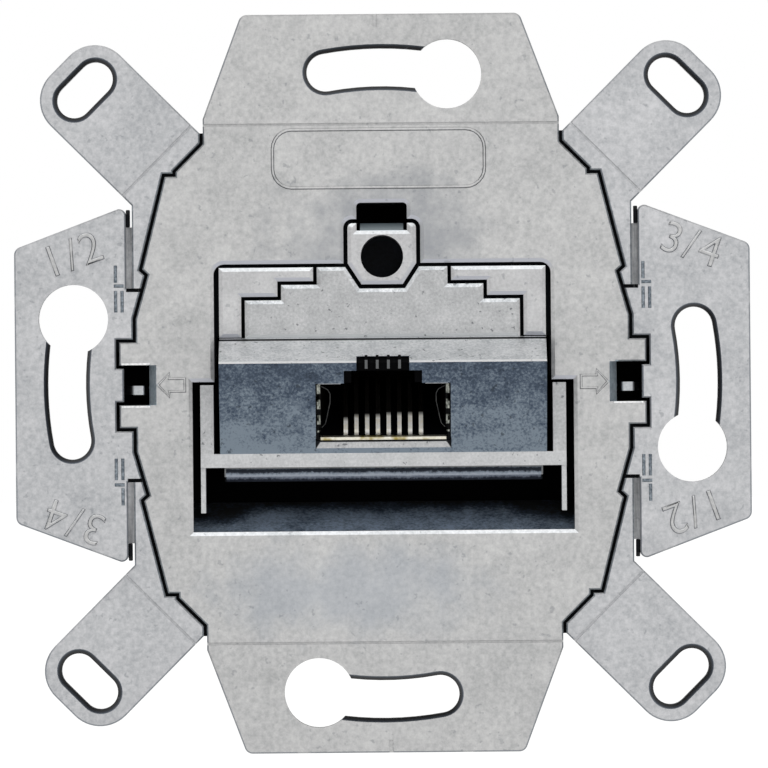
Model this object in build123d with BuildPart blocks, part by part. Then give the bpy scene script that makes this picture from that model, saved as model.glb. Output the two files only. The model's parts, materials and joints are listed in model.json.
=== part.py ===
from build123d import *
import math
import os

os.makedirs("parts", exist_ok=True)

# A flush-mounted socket insert with one shielded port, in millimetres.
# +Z is up, the front faces -Y, and Y = 0 is the wall face of the carrier plate.
# The origin is on the axis of the fixing circle.

# Carrier plate and its fixing circle
plate_thickness = 1.8
edge_bevel = 0.14
fixing_circle_radius = 30.0
keyhole_entry_radius = 3.3
keyhole_slot_width = 3.6
keyhole_rim_width = 4.4
keyhole_rim_depth = 0.7
keyhole_entry_angle = 12.1
keyhole_slot_angle = 10.0
tab_margin = 1.75
tab_top_half_width = 13.2
tab_root_half_width = 16.9
tab_root_height = 25.2
tab_corner_radius = 0.8
fold_groove_height = 24.6
fold_groove_width = 0.25
fold_groove_depth = 0.2
centre_mark_x = 0.5
centre_mark_width = 0.4
centre_mark_length = 1.2
centre_mark_depth = 0.15
edge_run = 0.35
edge_drop = 0.15

# Outer edge of the carrier plate beside the brackets
edge_start_height = 22.8
edge_step_height = 19.75
edge_step_inner = 19.5
edge_step_outer = 20.55
edge_jog_height = 10.75
edge_jog_rise = 0.25
edge_jog_outer = 22.75
edge_jog_inner = 22.2
edge_waist_height = 6.3
edge_waist = 23.4
prong_reach = 25.0
prong_outer_height = 4.05
catch_half_height = 1.9
catch_depth_x = 22.2
catch_slope_width = 0.7
catch_slope_depth = 1.2

# Side brackets
seam_gap = 0.32
wing_margin = 1.6
wing_tip_height = 13.0
wing_root_height = 17.0
wing_inner = 24.3
wing_corner_radius = 0.8
wing_root_radius = 0.6
strip_outer = 23.7
strip_slot_end = 9.2
strip_notch_height = 0.35
strip_notch_inner = 22.6
strip_notch_depth = 1.3
strip_web_end = 15.0
strip_web_thickness = 0.9
arm_tip = 43.0
arm_width = 9.4
arm_corner_radius = 3.4
arm_slot_reach = 39.68
arm_slot_width = 3.25
arm_slot_length = 6.15
arm_rim_margin = 0.45
arm_rim_depth = 0.7
arm_groove_reach = 30.1
tooth_face = 24.6
flange_thickness = 1.2
flange_inner = 1.2
flange_outer = 1.4
flange_top = 23.9
flange_clearance = 0.3
peg_radius = 1.0
peg_x = 14.9
peg_z = 21.6
peg_clearance = 0.05
peg_lug_radius = 2.0
peg_head_radius = 1.5
peg_head_thickness = 0.5

# Window of the carrier plate
window_margin = 0.2
window_top = 0.25
window_bottom = -14.0
window_upper_half_width = 16.0
window_upper_top = 11.4
window_corner_radius = 1.0
lug_gap = 0.4
latch_half_width = 2.4
latch_corner_radius = 0.4
latch_top = 17.15
latch_bottom = 14.5

# Front shell of the outlet
jack_angle = 30.0
shell_half_width = 15.5
shell_wall = 1.2
strip_wall = 0.8
panel_thickness = 1.0
panel_gap = 0.35
panel_top = 11.05
panel_bottom = 4.35
pad_rise = 0.1
sketch_overlap = 0.2
panel_steps = [(13.05, 7.95), (9.6, 9.4), (6.2, panel_top)]
face_top = 1.95
face_bottom = -6.6
ledge_bottom = -7.9
leg_gap = 0.75
leg_width = 1.25
leg_top = -0.05
leg_depth = 4.0
rail_width = 0.45
rail_bottom = -12.2
rail_depth = 2.5
rail_setback = 0.3
skirt_depth = 5.0
lip_steps = [(0.9, -8.8), (4.0, -9.3)]
lip_depth = 7.0

# Rear housing
tub_half_width = 19.7
tub_top = 18.6
tub_bottom = -16.0
tub_wall = 1.4
tub_depth = 18.3
tub_corner_radius = 3.0
front_wall_y = 1.5
front_wall_thickness = 1.2
can_window_rise = 2.2
can_side_gap = 0.8
post_width = 1.4
post_height = 2.0
lug_half_width = 3.25
lug_shoulder = 11.4
lug_foot_half_width = 1.95
lug_foot = 9.4
lug_top = 15.2
lug_depth = 7.5
lug_corner_radius = 0.45
latch_ledge_half_width = 2.05
latch_ledge_run = 1.1
cover_screw_radius = 2.02
cover_screw_z = 12.05
cover_screw_depth = 8.5
sill_front = -14.05
sill_back = -11.3
sill_depth = 5.5

# Module screws, between the ears of the rear housing and the bosses of the plate
module_boss_radius = 2.2
module_boss_length = 5.0
module_screw_x = 9.5
module_screw_top = 21.8
module_screw_bottom = -19.3
ear_thickness = 2.0
ear_radius = 2.4
screw_shank_radius = 0.9
screw_clearance = 0.2
bore_fit = 0.02
boss_floor = 0.6
screw_head_radius = 1.9
screw_head_height = 1.4
screw_length = 5.5
screw_slot_width = 0.5
screw_slot_depth = 0.6
screw_head_edge = 0.5
screw_slot_turn = 30.0

# Port
opening_bottom = 1.16
opening_top = 7.62
opening_half_width = 6.4
opening_chamfer_start = 0.55
key_half_widths = [3.7, 2.5]
key_tops = [9.0, 9.7]
key_depth = 1.8
nose_front = 0.45
nose_clearance = 0.08
jack_front = 1.6
jack_back = 15.0
jack_half_width = 7.1
jack_bottom = 0.0
jack_top = 8.1
cavity_half_width = 5.85
cavity_bottom = 1.5
cavity_top = 7.45
cavity_depth = 12.0
shield_thickness = 0.3
lip_front = 0.35
rim_tab_count = 3
rim_tab_height = 1.3
rim_tab_width = 0.22
lip_foot_height = 0.8
key_cut_top = 10.3
key_cut_depth = 1.4
nose_rib_count = 4
nose_rib_pitch = 1.05
nose_rib_width = 0.26
nose_rib_height = 0.35
nose_rib_drop = 0.55
nose_rib_front = 0.25
nose_rib_back = 1.3
sheet_gap = 0.05
flange_land = 0.45
channel_margin = 0.2
carrier_cut = 1.0
spring_sheet = 0.24
spring_window_land = 0.8
spring_window_margin = 0.3
spring_foot_length = 1.1
spring_foot_end = 0.5
spring_crest = 1.6
spring_tip = 0.6
spring_tip_gap = 0.1
latch_channel_half_width = 3.0
latch_channel_height = 1.3
latch_channel_length = 8.0
spring_window_end = 6.5
spring_height = 3.6
spring_reach = 0.25
contact_count = 8
contact_pitch = 1.02
contact_width = 0.4
contact_thickness = 0.32
contact_floor = 0.85
contact_dip = (2.6, 0.85)
contact_nose = (0.85, 1.55)
contact_tip = (12.7, 5.9)
contact_bends = [13.2, 10.4]
contact_radii = [0.5, 0.6, 0.22]
groove_clearance = 0.06
pin_overrun = 1.0
comb_set_back = 0.2
comb_drop = 0.6
comb_depth = 1.6
comb_height = 2.2
carrier_start = 9.2

# Circuit board
board_front = 13.2
board_thickness = 1.6
board_gap = 0.9
board_top = 15.6
board_bottom = -13.8
board_corner_radius = 1.0
board_hole_radius = 0.5
pin_stand_out = 0.6

# Insulating liner
liner_wall = 0.8
liner_gap = 0.1
liner_side_wall = 0.6
liner_side_front = 2.0
liner_side_top = 0.4
liner_side_bottom = -11.0
liner_slot_margin_x = 0.3
liner_slot_margin_z = 0.7
liner_post_width = 1.6
liner_post_drop = 1.6
liner_post_rise = 1.2

# Terminal blocks
block_inner = 6.8
block_width = 7.6
block_cover_gap = 0.9
terminal_pitch = 5.0
terminals_per_block = 4
block_centre_z = 1.2
block_end_margin = 2.6
wire_slot_width = 1.3
wire_slot_depth = 5.0
blade_thickness = 0.5
blade_width = 3.0
blade_clearance = 0.1
blade_drop = 2.3
blade_end_clearance = 0.3
block_chamfer = 0.5
blade_slit_width = 0.4
blade_slit_depth = 4.5
tail_width = 0.6

# Rear cover and cable clamp
cover_depth = 7.6
cover_wall = 1.2
cover_edge_radius = 2.0
cover_ear_reach = 2.3
cover_ear_z = -1.3
cover_boss_length = 8.0
cover_panel_depth = 0.4
cover_panel_margin = 5.5
cover_panel_radius = 2.0
cover_foot_width = 1.4
cover_foot_height = 1.6
cover_foot_margin = 0.4
cable_radius = 3.3
cradle_half_width = 9.0
cradle_length = 6.0
cradle_depth = 7.3
clamp_length = 4.8
clamp_wall = 1.5
clamp_gap = 0.4
clamp_screw_x = 6.9
clamp_screw_length = 4.5

# Cover catches
catch_box_width = 5.2
catch_box_height = 6.2
catch_box_depth = 4.5
catch_box_wall = 0.8
catch_seat_gap = 0.1
catch_spring_thickness = 0.3
catch_spring_width = 0.85
catch_spring_z = -0.48
catch_spring_gap = 0.2
catch_spring_length = 3.2
catch_hump_depth = 0.4
catch_hump_start = 0.3
catch_hump_end = 1.4
catch_tip_reach = 2.2
catch_tip_rise = 1.4
catch_bend_radius = 0.25

# Values worked out from the sizes above
tab_height = fixing_circle_radius + keyhole_entry_radius + tab_margin
wing_reach = fixing_circle_radius + keyhole_entry_radius + wing_margin
edge_taper = math.degrees(math.atan(edge_run / edge_drop))
plate_front = -plate_thickness
face_tilt = math.radians(jack_angle)
face_rise = (face_top - face_bottom) * math.tan(face_tilt)
face_edge_y = plate_front - face_rise
board_back = board_front + board_thickness
tub_inner_half_width = tub_half_width - tub_wall
window_half_width = tub_inner_half_width - window_margin
leg_outer = window_half_width - leg_gap
leg_inner = leg_outer - leg_width
rail_inner = leg_outer - rail_width
board_half_width = tub_inner_half_width - board_gap
cover_ear_x = tub_half_width + cover_ear_reach
block_height = tub_depth + cover_depth - cover_wall - block_cover_gap - board_back
blade_height = block_height - blade_drop
tub_inner_top = tub_top - tub_wall
tub_inner_bottom = tub_bottom + tub_wall
liner_back = board_front - liner_wall
front_wall_back = front_wall_y + front_wall_thickness
cable_y = tub_depth + clamp_gap / 2
sides = [("right", 1), ("left", -1)]

# Planes: the wall plane seen from the front, the slanted face, and the port's side plane
wall_plane = Plane.XZ
front_plane = Plane.XZ.offset(plate_thickness)
edge_plane = Plane.XZ.offset(plate_thickness - edge_drop)
side_plane = Plane.YZ
inward = Vector(0, math.cos(face_tilt), math.sin(face_tilt))
face_up = Vector(0, -math.sin(face_tilt), math.cos(face_tilt))
face_origin = Vector(0, plate_front, face_bottom)
face_plane = Plane(origin=face_origin, x_dir=(1, 0, 0), z_dir=-inward)
port_plane = Plane(origin=face_origin, x_dir=inward, z_dir=(1, 0, 0))


def depth(y):
    """The wall-parallel plane at depth y, seen from the front."""
    return Plane.XZ.offset(-y)


def mirror_z(points):
    """The points of an upper edge and their mirror images below it, in order."""
    return points + [(x, -z) for x, z in reversed(points)]


def mirror_x(points):
    """The points of a right-hand edge and their mirror images, in order."""
    return points + [(-x, z) for x, z in reversed(points)]


def box_between(low, high, mode=Mode.ADD):
    """A box given by its lowest and highest corners."""
    centre = tuple((a + b) / 2 for a, b in zip(low, high))
    size = [b - a for a, b in zip(low, high)]
    with Locations(centre):
        Box(*size, mode=mode)


# Outline of the carrier plate, shared with the brackets that close round it
upper_right_edge = [
    (tab_top_half_width, tab_height),
    (tab_root_half_width, tab_root_height),
    (tab_root_half_width, edge_start_height),
    (edge_step_inner, edge_start_height - (edge_step_inner - tab_root_half_width)),
    (edge_step_inner, edge_step_height),
    (edge_step_outer, edge_step_height),
    (edge_jog_outer, edge_jog_height + edge_jog_rise),
    (edge_jog_inner, edge_jog_height - edge_jog_rise),
    (edge_waist, edge_waist_height),
    (edge_waist, prong_outer_height),
    (prong_reach, prong_outer_height),
    (prong_reach, catch_half_height),
    (catch_depth_x, catch_half_height),
]
with BuildSketch() as plate_outline:
    Polygon(*mirror_x(mirror_z(upper_right_edge)), align=None)
    fillet(
        plate_outline.vertices().filter_by(lambda v: abs(v.Y) > tab_height - sketch_overlap),
        tab_corner_radius,
    )

# Keyhole on the fixing circle, drawn at three o'clock, and the wider rim round its slot
with BuildSketch() as keyhole:
    keyhole_arc = CenterArc(
        (0, 0), fixing_circle_radius, -keyhole_entry_angle, keyhole_entry_angle + keyhole_slot_angle
    )
    SlotArc(keyhole_arc, keyhole_slot_width)
    with PolarLocations(fixing_circle_radius, 1, start_angle=-keyhole_entry_angle):
        Circle(keyhole_entry_radius)
with BuildSketch() as keyhole_rim:
    SlotArc(keyhole_arc, keyhole_rim_width)
rim_taper = math.degrees(math.atan((keyhole_rim_width - keyhole_slot_width) / 2 / keyhole_rim_depth))

# Outline of the screw lug of the rear housing, which stands in a cut-out of the plate
lug_edge = [
    (lug_foot_half_width, lug_foot),
    (lug_half_width, lug_shoulder),
    (lug_half_width, lug_top),
]
with BuildSketch() as lug_outline:
    Polygon(*mirror_x(lug_edge), align=None)
    fillet(lug_outline.vertices().group_by(Axis.Y)[-1], lug_corner_radius)

# Window of the plate: the wide opening, the narrower one above it, the lug's and the latch's
with BuildSketch() as window_outline:
    with Locations((0, (window_top + window_bottom) / 2)):
        Rectangle(2 * window_half_width, window_top - window_bottom)
    with Locations((0, window_upper_top / 2)):
        RectangleRounded(2 * window_upper_half_width, window_upper_top, window_corner_radius)
    with Locations((0, window_top / 2)):
        Rectangle(2 * window_upper_half_width, window_top + 2 * window_corner_radius)
    offset(lug_outline.sketch, amount=lug_gap, kind=Kind.INTERSECTION, mode=Mode.ADD)
    with Locations((0, (latch_top + lug_foot) / 2)):
        RectangleRounded(2 * latch_half_width, latch_top - lug_foot, latch_corner_radius)

# Outline of the stepped panel of the front shell, before the lug is taken out
panel_edge = [(panel_steps[0][0], panel_bottom)]
for (step_x, step_z), (next_x, _) in zip(panel_steps, panel_steps[1:] + [(0, 0)]):
    panel_edge.append((step_x, step_z))
    if next_x:
        panel_edge.append((next_x, step_z))
with BuildSketch() as panel_outline:
    Polygon(*mirror_x(panel_edge), align=None)


# Carrier plate
with BuildPart() as carrier_plate:
    with BuildSketch(wall_plane):
        add(plate_outline.sketch)
    extrude(amount=plate_thickness)
    chamfer(carrier_plate.faces().sort_by(Axis.Y)[0].outer_wire().edges(), edge_bevel)
    with BuildSketch(front_plane):
        add(window_outline.sketch)
    extrude(amount=-plate_thickness, mode=Mode.SUBTRACT)
    with BuildSketch(front_plane):
        offset(window_outline.sketch, amount=edge_run, kind=Kind.INTERSECTION)
    extrude(amount=-edge_drop, taper=edge_taper, mode=Mode.SUBTRACT)
    with BuildSketch(front_plane):
        for base_angle in (90, 270):
            add(keyhole.sketch, rotation=base_angle)
    extrude(amount=-plate_thickness, mode=Mode.SUBTRACT)
    with BuildSketch(front_plane):
        for base_angle in (90, 270):
            add(keyhole_rim.sketch, rotation=base_angle)
    extrude(amount=-keyhole_rim_depth, taper=rim_taper, mode=Mode.SUBTRACT)
    with BuildSketch(front_plane):
        for groove_z in (fold_groove_height, -fold_groove_height):
            with Locations((0, groove_z)):
                Rectangle(2 * tab_root_half_width, fold_groove_width)
    extrude(amount=-fold_groove_depth, mode=Mode.SUBTRACT)
    with BuildSketch(front_plane):
        mark_z = tab_height - centre_mark_length / 2
        with Locations((-centre_mark_x, mark_z), (centre_mark_x, -mark_z)):
            Rectangle(centre_mark_width, centre_mark_length)
    extrude(amount=-centre_mark_depth, mode=Mode.SUBTRACT)
    for slope_side in (1, -1):
        with BuildSketch(Plane.XY.offset(-catch_half_height)):
            Polygon(
                (slope_side * catch_depth_x, plate_front),
                (slope_side * (catch_depth_x - catch_slope_width), plate_front),
                (slope_side * catch_depth_x, plate_front + catch_slope_depth),
                align=None,
            )
        extrude(amount=2 * catch_half_height, mode=Mode.SUBTRACT)
    with BuildSketch(wall_plane):
        for boss_z in (module_screw_top, module_screw_bottom):
            with Locations((module_screw_x, boss_z), (-module_screw_x, boss_z)):
                Circle(module_boss_radius)
    extrude(amount=-module_boss_length)
    with BuildSketch(depth(module_boss_length)):
        for boss_z in (module_screw_top, module_screw_bottom):
            with Locations((module_screw_x, boss_z), (-module_screw_x, boss_z)):
                Circle(screw_shank_radius + bore_fit)
    extrude(amount=module_boss_length - boss_floor, mode=Mode.SUBTRACT)
    peg_places = [(x, z) for x in (peg_x, -peg_x) for z in (peg_z, -peg_z)]
    with BuildSketch(wall_plane):
        with Locations(*peg_places):
            Circle(peg_radius)
    extrude(amount=-flange_thickness)
    with BuildSketch(depth(flange_thickness)):
        with Locations(*peg_places):
            Circle(peg_head_radius)
    extrude(amount=-peg_head_thickness)
carrier_plate.part.label = "carrier_plate"
export_step(carrier_plate.part, "parts/carrier_plate.step")


# Side brackets, the same casting turned half round
strip_root_height = strip_outer - arm_width / math.sqrt(2)
for side, turn in sides:
    bracket_plane = Plane(origin=(0, 0, 0), x_dir=(turn, 0, 0), z_dir=(0, -1, 0))
    bracket_front = bracket_plane.offset(plate_thickness)
    with BuildPart() as bracket:
        with BuildSketch(bracket_plane) as bracket_face:
            wing_edge = [
                (wing_reach, wing_tip_height),
                (wing_inner, wing_root_height),
                (wing_inner, strip_slot_end),
                (strip_outer, strip_slot_end),
                (strip_outer, strip_root_height),
                (edge_step_inner, edge_step_height),
            ]
            Polygon(*mirror_z(wing_edge), align=None)
            root_corners = bracket_face.vertices().filter_by(
                lambda v: abs(v.X - wing_inner) < edge_bevel and abs(v.Y) > wing_root_height - edge_bevel
            )
            fillet(root_corners, wing_root_radius)
            for arm_angle in (45, -45):
                with PolarLocations((arm_tip + edge_step_inner) / 2, 1, start_angle=arm_angle):
                    Rectangle(arm_tip - edge_step_inner, arm_width)
            fillet(
                bracket_face.vertices().filter_by(lambda v: math.hypot(v.X, v.Y) > arm_tip),
                arm_corner_radius,
            )
            fillet(
                bracket_face.vertices().filter_by(lambda v: v.X > wing_reach - sketch_overlap),
                wing_corner_radius,
            )
            offset(plate_outline.sketch, amount=seam_gap, kind=Kind.INTERSECTION, mode=Mode.SUBTRACT)
            with Locations(((catch_depth_x + tooth_face) / 2 - 1, 0)):
                Rectangle(tooth_face - catch_depth_x + 2, 2 * catch_half_height, mode=Mode.SUBTRACT)
        extrude(amount=plate_thickness)
        chamfer(bracket.faces().sort_by(Axis.Y)[0].outer_wire().edges(), edge_bevel)
        with BuildSketch(bracket_plane):
            for web_side in (1, -1):
                web_z = web_side * (strip_slot_end + strip_web_end) / 2
                with Locations(((strip_outer + wing_inner) / 2, web_z)):
                    Rectangle(wing_inner - strip_outer, strip_web_end - strip_slot_end)
        extrude(amount=strip_web_thickness)
        with BuildSketch(bracket_front):
            for notch_side in (1, -1):
                notch_z = notch_side * (strip_slot_end - strip_notch_height / 2)
                with Locations(((strip_notch_inner + wing_inner) / 2, notch_z)):
                    Rectangle(wing_inner - strip_notch_inner, strip_notch_height)
        extrude(amount=-strip_notch_depth, mode=Mode.SUBTRACT)
        with BuildSketch(bracket_front):
            add(keyhole.sketch)
            for arm_angle in (45, -45):
                with PolarLocations(arm_slot_reach, 1, start_angle=arm_angle):
                    SlotOverall(arm_slot_length, arm_slot_width, rotation=90)
        extrude(amount=-plate_thickness, mode=Mode.SUBTRACT)
        with BuildSketch(bracket_front):
            add(keyhole_rim.sketch)
        extrude(amount=-keyhole_rim_depth, taper=rim_taper, mode=Mode.SUBTRACT)
        with BuildSketch(bracket_front):
            for arm_angle in (45, -45):
                with PolarLocations(arm_slot_reach, 1, start_angle=arm_angle):
                    SlotOverall(
                        arm_slot_length + 2 * arm_rim_margin,
                        arm_slot_width + 2 * arm_rim_margin,
                        rotation=90,
                    )
        arm_rim_taper = math.degrees(math.atan(arm_rim_margin / arm_rim_depth))
        extrude(amount=-arm_rim_depth, taper=arm_rim_taper, mode=Mode.SUBTRACT)
        with BuildSketch(bracket_front):
            for arm_angle in (45, -45):
                with PolarLocations(arm_groove_reach, 1, start_angle=arm_angle):
                    Rectangle(fold_groove_width, arm_width)
        extrude(amount=-fold_groove_depth, mode=Mode.SUBTRACT)
        with BuildSketch(bracket_plane):
            offset(
                plate_outline.sketch,
                amount=seam_gap + flange_outer,
                kind=Kind.INTERSECTION,
                mode=Mode.ADD,
            )
            offset(plate_outline.sketch, amount=-flange_inner, kind=Kind.INTERSECTION, mode=Mode.SUBTRACT)
            with Locations(((tab_root_half_width + wing_reach) / 2, 0)):
                Rectangle(wing_reach - tab_root_half_width, 2 * flange_top, mode=Mode.INTERSECT)
            add(keyhole.sketch, mode=Mode.SUBTRACT)
            with Locations((0, turn * (tub_top + tub_bottom) / 2)):
                RectangleRounded(
                    2 * (tub_half_width + flange_clearance),
                    tub_top - tub_bottom + 2 * flange_clearance,
                    tub_corner_radius,
                    mode=Mode.SUBTRACT,
                )
            neck_end = tab_root_half_width + seam_gap
            with Locations(((peg_x + neck_end) / 2, peg_z), ((peg_x + neck_end) / 2, -peg_z)):
                Rectangle(neck_end - peg_x, 2 * (edge_start_height - peg_z))
            with Locations((peg_x, peg_z), (peg_x, -peg_z)):
                Circle(peg_lug_radius)
            catch_cut_inner = catch_depth_x - max(flange_inner, catch_box_wall) - catch_seat_gap
            catch_cut_outer = catch_depth_x - catch_box_wall + catch_box_width + catch_seat_gap
            with Locations(((catch_cut_inner + catch_cut_outer) / 2, 0)):
                Rectangle(
                    catch_cut_outer - catch_cut_inner,
                    catch_box_height + 2 * catch_seat_gap,
                    mode=Mode.SUBTRACT,
                )
            with Locations((peg_x, peg_z), (peg_x, -peg_z)):
                Circle(peg_radius + peg_clearance, mode=Mode.SUBTRACT)
        extrude(amount=-flange_thickness)
    bracket.part.label = f"{side}_side_bracket"
    export_step(bracket.part, f"parts/{side}_side_bracket.step")


# Front shell of the outlet: stepped panel, slanted face, ledge, legs and rails
with BuildPart() as outlet_housing:
    with BuildSketch(edge_plane) as panel_face:
        add(panel_outline.sketch)
        offset(lug_outline.sketch, amount=lug_gap, kind=Kind.INTERSECTION, mode=Mode.SUBTRACT)
    extrude(amount=-(panel_thickness - edge_drop))
    extrude(panel_face.sketch, amount=edge_drop, taper=edge_taper)
    strip_angle = math.atan2(panel_bottom - face_top, face_rise)
    inner_face_shift = shell_wall / math.cos(face_tilt)
    strip_drop = strip_wall / math.cos(strip_angle)
    panel_back = plate_front + panel_thickness
    with BuildSketch(side_plane.offset(-shell_half_width)):
        Polygon(
            (plate_front, panel_bottom),
            (face_edge_y, face_top),
            (plate_front, face_bottom),
            (plate_front, ledge_bottom),
            (skirt_depth, ledge_bottom),
            (skirt_depth, panel_bottom - panel_gap),
            (panel_back, panel_bottom - panel_gap),
            (panel_back, panel_bottom),
            align=None,
        )
    extrude(amount=2 * shell_half_width)
    strip_slope = math.tan(strip_angle)
    with BuildSketch(side_plane.offset(-(shell_half_width - shell_wall))):
        inner_corner_z = face_top - (strip_drop - inner_face_shift * strip_slope) / (
            1 + math.tan(face_tilt) * strip_slope
        )
        inner_corner_y = face_edge_y + inner_face_shift + (face_top - inner_corner_z) * math.tan(face_tilt)
        roof_z = panel_bottom - strip_drop + panel_thickness * strip_slope
        floor_y = plate_front + inner_face_shift
        Polygon(
            (panel_back, roof_z),
            (inner_corner_y, roof_z - (panel_back - inner_corner_y) * strip_slope),
            (floor_y, face_bottom),
            (skirt_depth, face_bottom),
            (skirt_depth, panel_bottom),
            (panel_back, panel_bottom),
            align=None,
        )
    extrude(amount=2 * (shell_half_width - shell_wall), mode=Mode.SUBTRACT)
    with BuildSketch(face_plane):
        with Locations((0, (opening_bottom + opening_top) / 2)):
            Rectangle(2 * opening_half_width, opening_top - opening_bottom)
        for key_half_width, key_top in zip(key_half_widths, key_tops):
            with Locations((0, (opening_bottom + key_top) / 2)):
                Rectangle(2 * key_half_width, key_top - opening_bottom)
    extrude(amount=-key_depth, mode=Mode.SUBTRACT)
    with BuildSketch(face_plane):
        with Locations((0, (opening_bottom + key_cut_top) / 2)):
            Rectangle(2 * key_half_widths[-1], key_cut_top - opening_bottom)
    extrude(amount=-key_cut_depth, mode=Mode.SUBTRACT)
    with BuildSketch(port_plane.offset(-opening_half_width)):
        chamfer_rise = opening_bottom - opening_chamfer_start
        Polygon(
            (0, opening_chamfer_start),
            (chamfer_rise * math.tan(face_tilt), opening_bottom),
            (0, opening_bottom),
            align=None,
        )
    extrude(amount=2 * opening_half_width, mode=Mode.SUBTRACT)
    with BuildSketch(front_plane):
        for leg_side in (1, -1):
            with Locations((leg_side * (leg_inner + leg_outer) / 2, (leg_top + ledge_bottom) / 2)):
                Rectangle(leg_outer - leg_inner, leg_top - ledge_bottom)
    extrude(amount=-(leg_depth + plate_thickness))
    with BuildSketch(front_plane):
        with Locations((0, (face_bottom + ledge_bottom) / 2)):
            Rectangle(2 * leg_outer, face_bottom - ledge_bottom)
    extrude(amount=-(leg_depth + plate_thickness))
    with BuildSketch(front_plane.offset(-rail_setback)):
        for rail_side in (1, -1):
            with Locations((rail_side * (rail_inner + leg_outer) / 2, (ledge_bottom + rail_bottom) / 2)):
                Rectangle(leg_outer - rail_inner, ledge_bottom - rail_bottom)
    extrude(amount=-(rail_depth + plate_thickness - rail_setback))
    lip_half_width = shell_half_width - panel_gap
    lip_profile = [(lip_steps[0][0], face_bottom), (lip_steps[0][0], ledge_bottom)]
    for (lip_y, lip_z), (next_y, _) in zip(lip_steps, lip_steps[1:] + [(lip_depth, 0)]):
        lip_profile.append((lip_y, lip_z))
        lip_profile.append((next_y, lip_z))
    lip_profile.append((lip_depth, face_bottom - shell_wall))
    with BuildSketch(side_plane.offset(-lip_half_width)):
        Polygon(
            *lip_profile,
            (skirt_depth, face_bottom - shell_wall),
            (skirt_depth, face_bottom),
            align=None,
        )
    extrude(amount=2 * lip_half_width)
outlet_housing.part.label = "outlet_housing"
export_step(outlet_housing.part, "parts/outlet_housing.step")


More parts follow.
